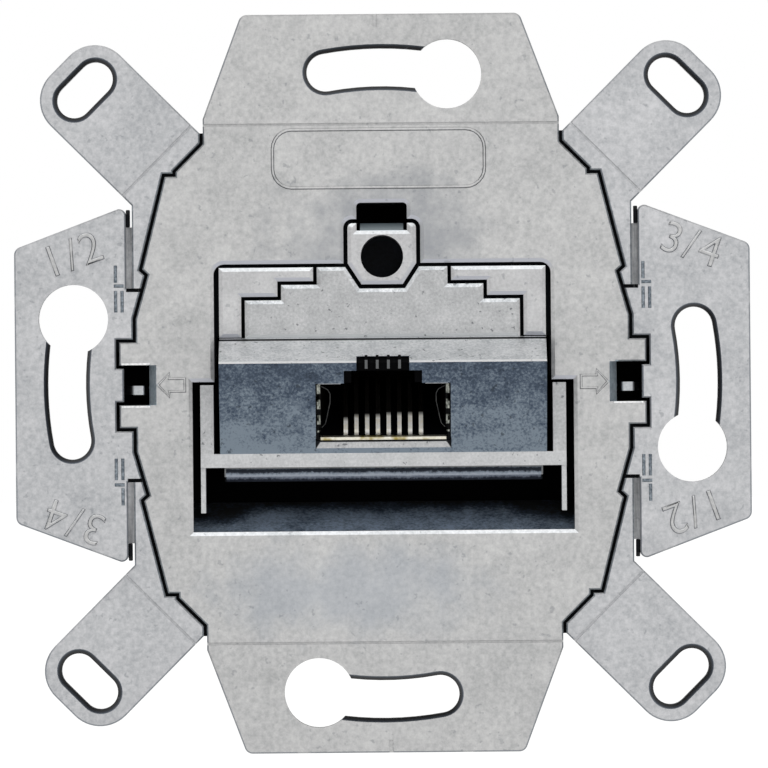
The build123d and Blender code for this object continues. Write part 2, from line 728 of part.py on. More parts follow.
# Rear housing: tub, corner pads, screw lug, sill, ears and cable cradle
with BuildPart() as rear_housing:
    with BuildSketch(wall_plane):
        with Locations((0, (tub_top + tub_bottom) / 2)):
            RectangleRounded(2 * tub_half_width, tub_top - tub_bottom, tub_corner_radius)
    extrude(amount=-tub_depth)
    with BuildSketch(depth(front_wall_back)):
        with Locations((0, (tub_inner_top + tub_inner_bottom) / 2)):
            Rectangle(2 * tub_inner_half_width, tub_inner_top - tub_inner_bottom)
    extrude(amount=-(tub_depth - front_wall_back), mode=Mode.SUBTRACT)
    with BuildSketch(wall_plane):
        with Locations((0, (tub_inner_top + tub_inner_bottom) / 2)):
            Rectangle(2 * tub_inner_half_width, tub_inner_top - tub_inner_bottom)
    extrude(amount=-front_wall_y, mode=Mode.SUBTRACT)
    with BuildSketch(depth(front_wall_y)):
        lower_top = window_top + panel_gap
        jack_roof = panel_bottom + can_window_rise
        with Locations((0, (lower_top + tub_inner_bottom) / 2)):
            Rectangle(2 * tub_inner_half_width, lower_top - tub_inner_bottom)
        with Locations((0, (lower_top + panel_bottom) / 2)):
            Rectangle(2 * (shell_half_width + panel_gap), panel_bottom - lower_top + sketch_overlap)
        with Locations((0, (panel_bottom + jack_roof) / 2)):
            Rectangle(2 * (jack_half_width + shield_thickness + can_side_gap), jack_roof - panel_bottom)
        with Locations((0, (latch_bottom + tub_inner_top) / 2)):
            Rectangle(2 * (latch_half_width + lug_gap), tub_inner_top - latch_bottom)
    extrude(amount=-front_wall_thickness, mode=Mode.SUBTRACT)
    with BuildSketch(edge_plane) as pad_face:
        pad_bottom = panel_bottom + pad_rise
        with Locations((0, (panel_top + pad_bottom) / 2)):
            Rectangle(2 * shell_half_width, panel_top - pad_bottom)
        offset(panel_outline.sketch, amount=panel_gap, kind=Kind.INTERSECTION, mode=Mode.SUBTRACT)
    extrude(amount=-(plate_thickness - edge_drop + front_wall_y + sketch_overlap))
    extrude(pad_face.sketch, amount=edge_drop, taper=edge_taper)
    with BuildSketch(edge_plane) as lug_face:
        add(lug_outline.sketch)
        with Locations((0, lug_top)):
            Rectangle(2 * latch_half_width, 2 * (lug_top - latch_bottom), mode=Mode.SUBTRACT)
    extrude(amount=-(plate_thickness - edge_drop + lug_depth))
    extrude(lug_face.sketch, amount=edge_drop, taper=edge_taper)
    with BuildSketch(side_plane.offset(-latch_ledge_half_width)):
        Polygon(
            (plate_front + edge_drop, latch_bottom),
            (plate_front + edge_drop + latch_ledge_run, lug_top),
            (lug_depth, lug_top),
            (lug_depth, latch_bottom),
            align=None,
        )
    extrude(amount=2 * latch_ledge_half_width)
    with BuildSketch(front_plane):
        with Locations((0, cover_screw_z)):
            Circle(cover_screw_radius)
    extrude(amount=-cover_screw_depth, mode=Mode.SUBTRACT)
    with BuildSketch(side_plane.offset(-tub_inner_half_width)):
        Polygon(
            (0, tub_inner_bottom),
            (0, sill_front),
            (sill_depth, sill_back),
            (sill_depth, tub_inner_bottom),
            align=None,
        )
    extrude(amount=2 * tub_inner_half_width)
    ear_xs = (module_screw_x, -module_screw_x)
    ear_places = [(x, z) for x in ear_xs for z in (module_screw_top, module_screw_bottom)]
    with BuildSketch(depth(module_boss_length)):
        with Locations(*ear_places):
            Circle(ear_radius)
        for ear_x, ear_z in ear_places:
            edge_z = tub_top if ear_z > 0 else tub_bottom
            with Locations((ear_x, (ear_z + edge_z) / 2)):
                Rectangle(2 * ear_radius, abs(ear_z - edge_z))
    extrude(amount=-ear_thickness)
    with BuildSketch(depth(module_boss_length)):
        with Locations(*ear_places):
            Circle(screw_shank_radius + screw_clearance)
    extrude(amount=-ear_thickness, mode=Mode.SUBTRACT)
    with BuildSketch(depth(tub_depth)):
        for boss_x in (cover_ear_x, -cover_ear_x):
            with Locations((boss_x, cover_ear_z)):
                Circle(ear_radius)
            with Locations(((boss_x + math.copysign(tub_half_width, boss_x)) / 2, cover_ear_z)):
                Rectangle(abs(boss_x) - tub_half_width, 2 * ear_radius)
    extrude(amount=cover_boss_length)
    with BuildSketch(depth(tub_depth)):
        with Locations((cover_ear_x, cover_ear_z), (-cover_ear_x, cover_ear_z)):
            Circle(screw_shank_radius + bore_fit)
    extrude(amount=cover_boss_length - boss_floor, mode=Mode.SUBTRACT)
    box_between(
        (-cradle_half_width, tub_depth - cradle_depth, tub_bottom - cradle_length),
        (cradle_half_width, tub_depth, tub_bottom),
    )
    with BuildSketch(Plane.XY.offset(tub_bottom - cradle_length)):
        with Locations((0, cable_y)):
            Circle(cable_radius)
    extrude(amount=cradle_length + tub_wall, mode=Mode.SUBTRACT)
    clamp_z = tub_bottom - cradle_length / 2
    with BuildSketch(depth(tub_depth)):
        with Locations((clamp_screw_x, clamp_z), (-clamp_screw_x, clamp_z)):
            Circle(screw_shank_radius + bore_fit)
    extrude(amount=clamp_screw_length + boss_floor - clamp_gap, mode=Mode.SUBTRACT)
    post_end = liner_back - liner_wall
    for post_side in (1, -1):
        post_x = sorted((post_side * tub_inner_half_width, post_side * (tub_inner_half_width - post_width)))
        box_between(
            (post_x[0], front_wall_back, tub_inner_top - post_height),
            (post_x[1], post_end, tub_inner_top),
        )
        box_between(
            (post_x[0], sill_depth, tub_inner_bottom),
            (post_x[1], post_end, tub_inner_bottom + post_height),
        )
rear_housing.part.label = "rear_housing"
export_step(rear_housing.part, "parts/rear_housing.step")


# Black plastic port: nose in the housing's opening, body behind the slanted wall
contact_xs = [(number - (contact_count - 1) / 2) * contact_pitch for number in range(contact_count)]
groove_width = contact_width + 2 * groove_clearance
with BuildPart() as jack_body:
    with BuildSketch(face_plane.offset(-jack_front)):
        with Locations((0, (jack_bottom + jack_top) / 2)):
            Rectangle(2 * jack_half_width, jack_top - jack_bottom)
    extrude(amount=-(jack_back - jack_front))
    with BuildSketch(face_plane.offset(-nose_front)):
        for key_half_width, key_top in zip(key_half_widths, key_tops):
            with Locations((0, (cavity_top + key_top - nose_clearance) / 2)):
                Rectangle(2 * (key_half_width - nose_clearance), key_top - nose_clearance - cavity_top)
    extrude(amount=-(key_depth - nose_clearance - nose_front))
    with BuildSketch(face_plane.offset(-nose_rib_front)):
        rib_middle = (nose_rib_count - 1) / 2
        rib_u = key_tops[-1] - nose_clearance + (nose_rib_height - nose_rib_drop) / 2
        rib_xs = [(number - rib_middle) * nose_rib_pitch for number in range(nose_rib_count)]
        with Locations(*[(rib_x, rib_u) for rib_x in rib_xs]):
            Rectangle(nose_rib_width, nose_rib_height + nose_rib_drop)
    extrude(amount=-(nose_rib_back - nose_rib_front))
    with BuildSketch(face_plane.offset(-(lip_front + shield_thickness + sheet_gap))):
        with Locations((0, (opening_bottom + nose_clearance + cavity_bottom) / 2)):
            Rectangle(2 * cavity_half_width, cavity_bottom - opening_bottom - nose_clearance)
    extrude(amount=-(jack_front - lip_front - shield_thickness - sheet_gap))
    with BuildSketch(face_plane.offset(-jack_front)):
        with Locations((0, (cavity_bottom + cavity_top) / 2)):
            Rectangle(2 * cavity_half_width, cavity_top - cavity_bottom)
    extrude(amount=-(jack_back - jack_front), mode=Mode.SUBTRACT)
    with BuildSketch(face_plane.offset(-nose_front)):
        with Locations((0, cavity_top)):
            Rectangle(2 * latch_channel_half_width, 2 * latch_channel_height)
    extrude(amount=-(latch_channel_length - nose_front), mode=Mode.SUBTRACT)
    with BuildSketch(face_plane.offset(-carrier_start)):
        with Locations((0, (jack_bottom + cavity_bottom) / 2)):
            Rectangle(2 * cavity_half_width, cavity_bottom - jack_bottom)
    extrude(amount=-(jack_back - carrier_start), mode=Mode.SUBTRACT)
    with BuildSketch(face_plane.offset(-lip_front)):
        with Locations(*[(contact_x, cavity_bottom) for contact_x in contact_xs]):
            Rectangle(groove_width, 2 * (cavity_bottom - contact_floor + contact_thickness))
    extrude(amount=-(carrier_start - lip_front), mode=Mode.SUBTRACT)
    for window_side in (1, -1):
        window_x = sorted((window_side * cavity_half_width, window_side * jack_half_width))
        with BuildSketch(port_plane.offset(window_x[0])):
            with Locations(((jack_front + spring_window_end) / 2, (cavity_bottom + cavity_top) / 2)):
                Rectangle(
                    spring_window_end - jack_front - spring_window_land,
                    spring_height + 2 * spring_window_margin,
                )
        extrude(amount=window_x[1] - window_x[0], mode=Mode.SUBTRACT)
jack_body.part.label = "jack_body"
export_step(jack_body.part, "parts/jack_body.step")


# Sheet-metal can round the port, with its front flange, rim, lip and side springs
can_half_width = jack_half_width + shield_thickness + groove_clearance
can_bottom = jack_bottom - shield_thickness - groove_clearance
can_top = jack_top + shield_thickness + groove_clearance
with BuildPart() as jack_shield:
    with BuildSketch(face_plane.offset(-(jack_front - shield_thickness - sheet_gap))):
        with Locations((0, (can_bottom + can_top) / 2)):
            Rectangle(2 * can_half_width, can_top - can_bottom)
    extrude(amount=-(jack_back - jack_front + shield_thickness))
    with BuildSketch(face_plane.offset(-(jack_front - sheet_gap))):
        with Locations((0, (jack_bottom + jack_top) / 2)):
            Rectangle(
                2 * (jack_half_width + groove_clearance),
                jack_top - jack_bottom + 2 * groove_clearance,
            )
    extrude(amount=-jack_back, mode=Mode.SUBTRACT)
    with BuildSketch(face_plane):
        flange_low = jack_bottom + flange_land
        flange_high = cavity_top + sheet_gap
        with Locations((0, (flange_low + flange_high) / 2)):
            Rectangle(2 * (cavity_half_width + 2 * sheet_gap), flange_high - flange_low)
        with Locations((0, cavity_top)):
            Rectangle(2 * key_half_widths[0], 2 * (can_top - cavity_top))
    extrude(amount=-(jack_front + 2 * sheet_gap), mode=Mode.SUBTRACT)
    with BuildSketch(face_plane):
        with Locations((0, can_top)):
            Rectangle(
                2 * (latch_channel_half_width + channel_margin),
                2 * (can_top - jack_top + channel_margin),
            )
    extrude(amount=-latch_channel_length, mode=Mode.SUBTRACT)
    with BuildSketch(face_plane):
        with Locations((0, can_top)):
            Rectangle(2 * (key_half_widths[0] + sheet_gap), 2 * (can_top - jack_top + channel_margin))
    extrude(amount=-(key_depth + sheet_gap), mode=Mode.SUBTRACT)
    with BuildSketch(face_plane.offset(-carrier_start)):
        with Locations((0, jack_bottom)):
            Rectangle(2 * cavity_half_width, 2 * carrier_cut)
    extrude(amount=-(jack_back - carrier_start), mode=Mode.SUBTRACT)
    rim_half_width = opening_half_width - nose_clearance
    rim_top = opening_top - nose_clearance
    lip_bottom = opening_bottom + nose_clearance
    rim_x = rim_half_width - rim_tab_width / 2
    rim_pitch = (rim_top - lip_bottom) / rim_tab_count
    with BuildSketch(face_plane.offset(-lip_front)):
        for rim_number in range(rim_tab_count):
            rim_u = rim_top - rim_tab_height / 2 - rim_number * rim_pitch
            with Locations((rim_x, rim_u), (-rim_x, rim_u)):
                Rectangle(rim_tab_width, rim_tab_height)
    extrude(amount=-(jack_front - lip_front - shield_thickness / 2))
    with BuildSketch(face_plane.offset(-lip_front)):
        with Locations((0, lip_bottom + shield_thickness / 2)):
            Rectangle(2 * rim_half_width, shield_thickness)
    extrude(amount=-shield_thickness)
    with BuildSketch(face_plane.offset(-lip_front)):
        lip_foot_u = lip_bottom + lip_foot_height / 2
        with Locations((rim_x, lip_foot_u), (-rim_x, lip_foot_u)):
            Rectangle(rim_tab_width, lip_foot_height)
    extrude(amount=-(jack_front - lip_front - shield_thickness / 2))
    spring_u = (cavity_bottom + cavity_top) / 2
    for spring_side in (1, -1):
        can_x = spring_side * (can_half_width - shield_thickness / 2)
        spring_plane = Plane(
            origin=face_origin + face_up * (spring_u - spring_height / 2), x_dir=inward, z_dir=face_up
        )
        with BuildSketch(spring_plane):
            with BuildLine():
                Polyline(
                    (spring_window_end + spring_foot_end, -can_x),
                    (spring_window_end + spring_foot_end - spring_foot_length, -can_x),
                    (jack_front + spring_crest, -spring_side * (cavity_half_width - spring_reach)),
                    (jack_front + spring_tip, -spring_side * (cavity_half_width + spring_tip_gap)),
                )
            trace(line_width=spring_sheet)
        extrude(amount=spring_height)
jack_shield.part.label = "jack_shield"
export_step(jack_shield.part, "parts/jack_shield.step")


# Contact wires: board pin, run under the cavity floor, bend behind the lip, sprung length
def contact_path(bend_s, extra=0.0):
    """Corners of a contact wire in the port's side plane, from the board pin to its free end."""
    bend_y = plate_front - contact_floor * math.sin(face_tilt) + bend_s * math.cos(face_tilt)
    run = board_back + pin_stand_out + extra - bend_y
    pin_end = (bend_s + run * math.cos(face_tilt), contact_floor - run * math.sin(face_tilt))
    return [pin_end, (bend_s, contact_floor), contact_dip, contact_nose, contact_tip]


for number, contact_x in enumerate(contact_xs):
    bend_s = contact_bends[number % 2]
    with BuildPart() as contact_spring:
        with BuildSketch(port_plane.offset(contact_x - contact_width / 2)):
            with BuildLine():
                FilletPolyline(*contact_path(bend_s), radius=contact_radii)
            trace(line_width=contact_thickness)
        extrude(amount=contact_width)
    contact_spring.part.label = f"contact_spring_{number + 1}"
    export_step(contact_spring.part, f"parts/contact_spring_{number + 1}.step")


# Insert at the back of the port that carries the contact wires and combs their free ends
with BuildPart() as contact_carrier:
    with BuildSketch(port_plane.offset(-(cavity_half_width - groove_clearance))):
        Polygon(
            (carrier_start + groove_clearance, jack_bottom),
            (carrier_start + groove_clearance, cavity_bottom - groove_clearance),
            (cavity_depth, cavity_bottom - groove_clearance),
            (cavity_depth, cavity_top - groove_clearance),
            (jack_back, cavity_top - groove_clearance),
            (jack_back, jack_bottom),
            align=None,
        )
    extrude(amount=2 * (cavity_half_width - groove_clearance))
    for number, contact_x in enumerate(contact_xs):
        with BuildSketch(port_plane.offset(contact_x - groove_width / 2)):
            with BuildLine():
                FilletPolyline(*contact_path(contact_bends[number % 2], pin_overrun), radius=contact_radii)
            trace(line_width=contact_thickness + 2 * groove_clearance)
            with Locations((contact_tip[0] - comb_set_back, contact_tip[1] - comb_drop)):
                Rectangle(comb_depth, comb_height)
        extrude(amount=groove_width, mode=Mode.SUBTRACT)
contact_carrier.part.label = "contact_carrier"
export_step(contact_carrier.part, "parts/contact_carrier.step")


# Places of the contact pins and terminal tails on the circuit board
def pin_height(bend_s):
    """Height of a contact pin where it runs straight back to the board."""
    return face_bottom + contact_floor * math.cos(face_tilt) + bend_s * math.sin(face_tilt)


pin_places = [(x, pin_height(contact_bends[number % 2])) for number, x in enumerate(contact_xs)]
terminal_zs = [
    block_centre_z + (number - (terminals_per_block - 1) / 2) * terminal_pitch
    for number in range(terminals_per_block)
]
blade_x = block_inner + block_width / 2

# Circuit board behind the liner
with BuildPart() as circuit_board:
    with BuildSketch(depth(board_front)):
        with Locations((0, (board_top + board_bottom) / 2)):
            RectangleRounded(2 * board_half_width, board_top - board_bottom, board_corner_radius)
        with Locations(*pin_places):
            Circle(board_hole_radius, mode=Mode.SUBTRACT)
        with Locations(*[(side * blade_x, z) for _, side in sides for z in terminal_zs]):
            Circle(board_hole_radius, mode=Mode.SUBTRACT)
    extrude(amount=-board_thickness)
circuit_board.part.label = "circuit_board"
export_step(circuit_board.part, "parts/circuit_board.step")


# Black insulating liner between the port and the board, seen in the gaps of the window
with BuildPart() as insulating_liner:
    liner_half_width = tub_inner_half_width - liner_gap
    with BuildSketch(depth(liner_back - liner_wall)):
        liner_top = tub_inner_top - liner_gap
        liner_bottom = tub_inner_bottom + liner_gap
        with Locations((0, (liner_top + liner_bottom) / 2)):
            Rectangle(2 * liner_half_width, liner_top - liner_bottom)
        pin_low = min(z for _, z in pin_places)
        pin_high = max(z for _, z in pin_places)
        with Locations((0, (pin_low + pin_high) / 2)):
            Rectangle(
                contact_count * contact_pitch + 2 * liner_slot_margin_x,
                pin_high - pin_low + 2 * liner_slot_margin_z,
                mode=Mode.SUBTRACT,
            )
    extrude(amount=-liner_wall)
    post_x_middle = liner_half_width - liner_post_width / 2
    for post_x in (post_x_middle, -post_x_middle):
        for post_z in (liner_top - liner_post_drop, liner_bottom + liner_post_rise):
            box_between(
                (post_x - liner_post_width / 2, liner_back, post_z - liner_post_width / 2),
                (post_x + liner_post_width / 2, board_front, post_z + liner_post_width / 2),
            )
    for wall_side in (1, -1):
        wall_x = sorted((wall_side * liner_half_width, wall_side * (liner_half_width - liner_side_wall)))
        box_between(
            (wall_x[0], liner_side_front, liner_side_bottom),
            (wall_x[1], liner_back - liner_wall, liner_side_top),
        )
insulating_liner.part.label = "insulating_liner"
export_step(insulating_liner.part, "parts/insulating_liner.step")


# Terminal blocks and their slotted blades
block_half_length = (terminals_per_block - 1) / 2 * terminal_pitch + block_end_margin
for side, turn in sides:
    block_x = sorted((turn * block_inner, turn * (block_inner + block_width)))
    with BuildPart() as terminal_block:
        box_between(
            (block_x[0], board_back, block_centre_z - block_half_length),
            (block_x[1], board_back + block_height, block_centre_z + block_half_length),
        )
        chamfer(terminal_block.faces().sort_by(Axis.Y)[-1].edges(), block_chamfer)
        for terminal_z in terminal_zs:
            box_between(
                (block_x[0], board_back + block_height - wire_slot_depth, terminal_z - wire_slot_width / 2),
                (block_x[1], board_back + block_height, terminal_z + wire_slot_width / 2),
                mode=Mode.SUBTRACT,
            )
            half_blade = blade_width / 2 + blade_clearance
            half_pocket = blade_thickness / 2 + blade_clearance
            pocket_height = blade_height + blade_end_clearance
            box_between(
                (turn * blade_x - half_pocket, board_back, terminal_z - half_blade),
                (turn * blade_x + half_pocket, board_back + pocket_height, terminal_z + half_blade),
                mode=Mode.SUBTRACT,
            )
    terminal_block.part.label = f"{side}_terminal_block"
    export_step(terminal_block.part, f"parts/{side}_terminal_block.step")
    for number, terminal_z in enumerate(terminal_zs):
        blade_number = number + 1 + (terminals_per_block if turn < 0 else 0)
        with BuildPart() as terminal_contact:
            with BuildSketch(side_plane.offset(turn * blade_x - blade_thickness / 2)):
                with Locations((board_back + blade_height / 2, terminal_z)):
                    Rectangle(blade_height, blade_width)
                with Locations((board_back + blade_height - blade_slit_depth / 2, terminal_z)):
                    Rectangle(blade_slit_depth, blade_slit_width, mode=Mode.SUBTRACT)
                with Locations((board_back - board_thickness / 2 - pin_stand_out / 4, terminal_z)):
                    Rectangle(board_thickness + pin_stand_out / 2, tail_width)
            extrude(amount=blade_thickness)
        terminal_contact.part.label = f"terminal_contact_{blade_number}"
        export_step(terminal_contact.part, f"parts/terminal_contact_{blade_number}.step")


# Rear cover, screwed to the tub's side bosses
with BuildPart() as rear_cover:
    with BuildSketch(depth(tub_depth)):
        with Locations((0, (tub_top + tub_bottom) / 2)):
            RectangleRounded(2 * tub_half_width, tub_top - tub_bottom, tub_corner_radius)
    extrude(amount=-cover_depth)
    fillet(rear_cover.faces().sort_by(Axis.Y)[-1].edges(), cover_edge_radius)
    with BuildSketch(depth(tub_depth)):
        with Locations((0, (tub_top + tub_bottom) / 2)):
            Rectangle(2 * (tub_half_width - cover_wall), tub_top - tub_bottom - 2 * cover_wall)
    extrude(amount=-(cover_depth - cover_wall), mode=Mode.SUBTRACT)
    with BuildSketch(depth(tub_depth + cover_depth)):
        with Locations((0, (tub_top + tub_bottom) / 2)):
            RectangleRounded(
                2 * (tub_half_width - cover_panel_margin),
                tub_top - tub_bottom - 2 * cover_panel_margin,
                cover_panel_radius,
            )
    extrude(amount=cover_panel_depth, mode=Mode.SUBTRACT)
    with BuildSketch(depth(tub_depth)):
        for ear_x in (cover_ear_x, -cover_ear_x):
            with Locations((ear_x, cover_ear_z)):
                Circle(ear_radius)
            root_x = math.copysign(tub_half_width - cover_wall, ear_x)
            with Locations(((ear_x + root_x) / 2, cover_ear_z)):
                Rectangle(abs(ear_x - root_x), 2 * ear_radius)
    extrude(amount=-ear_thickness)
    with BuildSketch(depth(tub_depth)):
        with Locations((cover_ear_x, cover_ear_z), (-cover_ear_x, cover_ear_z)):
            Circle(screw_shank_radius + screw_clearance)
    extrude(amount=-ear_thickness, mode=Mode.SUBTRACT)
    with BuildSketch(Plane.XY.offset(tub_bottom)):
        with Locations((0, cable_y)):
            Circle(cable_radius)
    extrude(amount=cover_wall, mode=Mode.SUBTRACT)
    foot_outer = board_half_width - cover_foot_margin
    for foot_side in (1, -1):
        foot_x = sorted((foot_side * foot_outer, foot_side * (foot_outer - cover_foot_width)))
        upper_foot = board_top - cover_foot_margin - cover_foot_height
        for foot_low in (upper_foot, board_bottom + cover_foot_margin):
            box_between(
                (foot_x[0], board_back, foot_low),
                (foot_x[1], tub_depth + cover_depth - cover_wall, foot_low + cover_foot_height),
            )
rear_cover.part.label = "rear_cover"
export_step(rear_cover.part, "parts/rear_cover.step")


# Cable clamp over the cradle
clamp_bottom = tub_bottom - cradle_length / 2 - clamp_length / 2
with BuildPart() as cable_clamp:
    with BuildSketch(Plane.XY.offset(clamp_bottom)):
        with Locations((0, tub_depth + clamp_gap + clamp_wall / 2)):
            Rectangle(2 * cradle_half_width, clamp_wall)
        with Locations((0, cable_y)):
            Circle(cable_radius + clamp_wall)
        with Locations((0, tub_depth + clamp_gap - cradle_half_width)):
            Rectangle(2 * cradle_half_width, 2 * cradle_half_width, mode=Mode.SUBTRACT)
        with Locations((0, cable_y)):
            Circle(cable_radius, mode=Mode.SUBTRACT)
    extrude(amount=clamp_length)
    with BuildSketch(depth(tub_depth)):
        with Locations((clamp_screw_x, clamp_z), (-clamp_screw_x, clamp_z)):
            Circle(screw_shank_radius + screw_clearance)
    extrude(amount=-(clamp_gap + clamp_wall), mode=Mode.SUBTRACT)
cable_clamp.part.label = "cable_clamp"
export_step(cable_clamp.part, "parts/cable_clamp.step")


# Screws, one node for each set: pan head towards the back, slotted, shank forwards
def pan_screws(name, places, seat_y, shank_length):
    """A set of equal slotted screws with their heads seated at seat_y."""
    with BuildPart() as screws:
        with BuildSketch(depth(seat_y)):
            with Locations(*places):
                Circle(screw_head_radius)
        extrude(amount=-screw_head_height)
        fillet(screws.faces().group_by(Axis.Y)[-1].edges(), screw_head_edge)
        with BuildSketch(depth(seat_y + screw_head_height)):
            for place in places:
                with Locations(place):
                    Rectangle(2 * screw_head_radius, screw_slot_width, rotation=screw_slot_turn)
        extrude(amount=screw_slot_depth, mode=Mode.SUBTRACT)
        with BuildSketch(depth(seat_y)):
            with Locations(*places):
                Circle(screw_shank_radius)
        extrude(amount=shank_length)
    screws.part.label = name
    export_step(screws.part, f"parts/{name}.step")


pan_screws("module_screws", ear_places, module_boss_length + ear_thickness, screw_length)
cover_ear_places = [(cover_ear_x, cover_ear_z), (-cover_ear_x, cover_ear_z)]
pan_screws("cover_fixing_screws", cover_ear_places, tub_depth + ear_thickness, screw_length + ear_thickness)
clamp_places = [(clamp_screw_x, clamp_z), (-clamp_screw_x, clamp_z)]
pan_screws("clamp_screws", clamp_places, tub_depth + clamp_gap + clamp_wall, clamp_screw_length)


# Cover catches behind the notches: black boxes with a steel spring each
for side, turn in sides:
    box_inner_x = catch_depth_x - catch_box_wall
    box_x = sorted((turn * box_inner_x, turn * (box_inner_x + catch_box_width)))
    with BuildPart() as catch_box:
        box_between(
            (box_x[0], 0, -catch_box_height / 2),
            (box_x[1], catch_box_depth, catch_box_height / 2),
        )
        pocket_x = (box_x[0] + catch_box_wall, box_x[1] - catch_box_wall)
        box_between(
            (pocket_x[0], 0, -catch_half_height),
            (pocket_x[1], catch_box_depth - catch_box_wall, catch_half_height),
            mode=Mode.SUBTRACT,
        )
    catch_box.part.label = f"{side}_catch_box"
    export_step(catch_box.part, f"parts/{side}_catch_box.step")
    spring_plane = Plane(
        origin=(0, 0, catch_spring_z - catch_spring_width / 2), x_dir=(turn, 0, 0), z_dir=(0, 0, 1)
    )
    with BuildPart() as catch_spring:
        with BuildSketch(spring_plane):
            floor_y = (catch_box_depth - catch_box_wall - catch_spring_thickness / 2) * turn
            hump_y = catch_hump_depth * turn
            pocket_start = catch_depth_x + catch_spring_gap
            tip_y = floor_y - catch_tip_rise * turn
            with BuildLine():
                FilletPolyline(
                    (pocket_start + catch_spring_length, floor_y),
                    (pocket_start, floor_y),
                    (pocket_start + catch_hump_start, hump_y),
                    (pocket_start + catch_hump_end, hump_y),
                    (pocket_start + catch_tip_reach, tip_y),
                    radius=catch_bend_radius,
                )
            trace(line_width=catch_spring_thickness)
        extrude(amount=catch_spring_width)
    catch_spring.part.label = f"{side}_catch_spring"
    export_step(catch_spring.part, f"parts/{side}_catch_spring.step")
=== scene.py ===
import bmesh
import bpy
import json
import math
from mathutils import Matrix, Vector


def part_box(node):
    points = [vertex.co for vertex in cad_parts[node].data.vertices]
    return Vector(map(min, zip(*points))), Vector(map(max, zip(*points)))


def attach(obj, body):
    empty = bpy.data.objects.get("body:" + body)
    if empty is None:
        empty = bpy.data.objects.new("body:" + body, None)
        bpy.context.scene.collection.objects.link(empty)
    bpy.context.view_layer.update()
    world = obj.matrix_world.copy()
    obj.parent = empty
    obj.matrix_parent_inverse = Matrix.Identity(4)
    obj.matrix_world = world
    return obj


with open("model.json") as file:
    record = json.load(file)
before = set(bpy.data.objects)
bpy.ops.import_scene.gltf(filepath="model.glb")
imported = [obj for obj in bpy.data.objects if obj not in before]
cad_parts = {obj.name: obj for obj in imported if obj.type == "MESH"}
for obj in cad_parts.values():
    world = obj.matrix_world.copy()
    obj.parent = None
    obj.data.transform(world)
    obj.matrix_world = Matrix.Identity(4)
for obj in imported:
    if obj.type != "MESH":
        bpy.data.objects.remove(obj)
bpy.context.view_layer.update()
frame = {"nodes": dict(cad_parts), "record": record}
print("frame loaded:", len(frame["nodes"]), "nodes")

mm = 0.001
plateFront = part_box("carrier_plate")[0].y      # the side that faces the room
port = {"foot": -6.6, "tilt": 30.0}      # lower edge of the slanted face, and how far the port looks down
portInward = Vector((0, math.cos(math.radians(port["tilt"])), math.sin(math.radians(port["tilt"]))))
portStart = portInward.dot(Vector((0, plateFront, port["foot"] * mm)))


# Materials

def linear(hexColour):
    channels = [int(hexColour[i:i + 2], 16) / 255 for i in (1, 3, 5)]
    return [c / 12.92 if c <= 0.04045 else ((c + 0.055) / 1.055) ** 2.4 for c in channels] + [1.0]


def fillSockets(tree, node, inputs):
    # inputs stand in the order of the node's sockets, or by name: a value, a hex colour, an output, or
    # another node, which gives its first output
    inUse = [socket for socket in node.inputs if socket.enabled]
    for key, value in (inputs if isinstance(inputs, dict) else dict(enumerate(inputs))).items():
        socket = node.inputs[key] if isinstance(key, str) else inUse[key]
        if isinstance(value, bpy.types.Node):
            value = next(output for output in value.outputs if output.enabled)
        if isinstance(value, bpy.types.NodeSocket):
            tree.links.new(value, socket)
        else:
            socket.default_value = linear(value) if isinstance(value, str) else value


def addNode(tree, kind, inputs=(), stops=(), **settings):
    # stops are a ramp's, each with a hex colour or a share
    node = tree.nodes.new("ShaderNode" + kind)
    for name, value in settings.items():
        setattr(node, name, value)
    if stops:
        elements = node.color_ramp.elements
        while len(elements) < len(stops):
            elements.new(0.5)
        for element, (place, tone) in zip(elements, stops):
            element.position = place
            element.color = linear(tone) if isinstance(tone, str) else (tone, tone, tone, 1)
    fillSockets(tree, node, inputs)
    return node


def newMaterial(name):
    material = bpy.data.materials.new(name)
    material.use_nodes = True
    tree = material.node_tree
    tree.nodes.clear()
    surface = addNode(tree, "BsdfPrincipled")
    addNode(tree, "OutputMaterial", [surface])
    return material, tree, surface


def placeOf(tree, position):
    # a point's X, Y and Z in millimetres
    scaled = addNode(tree, "VectorMath", [position, [1 / mm] * 3], operation="MULTIPLY")
    return addNode(tree, "SeparateXYZ", [scaled]).outputs


def portDepthOf(tree, position):
    # how deep a point lies behind the slanted face, in millimetres
    along = addNode(tree, "VectorMath", [position, portInward], operation="DOT_PRODUCT")
    behind = addNode(tree, "Math", [along, portStart], operation="SUBTRACT")
    return addNode(tree, "Math", [behind, mm], operation="DIVIDE")


def insideShare(tree, *bands):
    # how far a point lies inside every band, each given as a value and where its share is 0 and 1
    share = None
    for value, band in bands:
        inside = addNode(tree, "MapRange", [value, *band])
        share = addNode(tree, "Math", [share, inside], operation="MULTIPLY") if share else inside
    return share


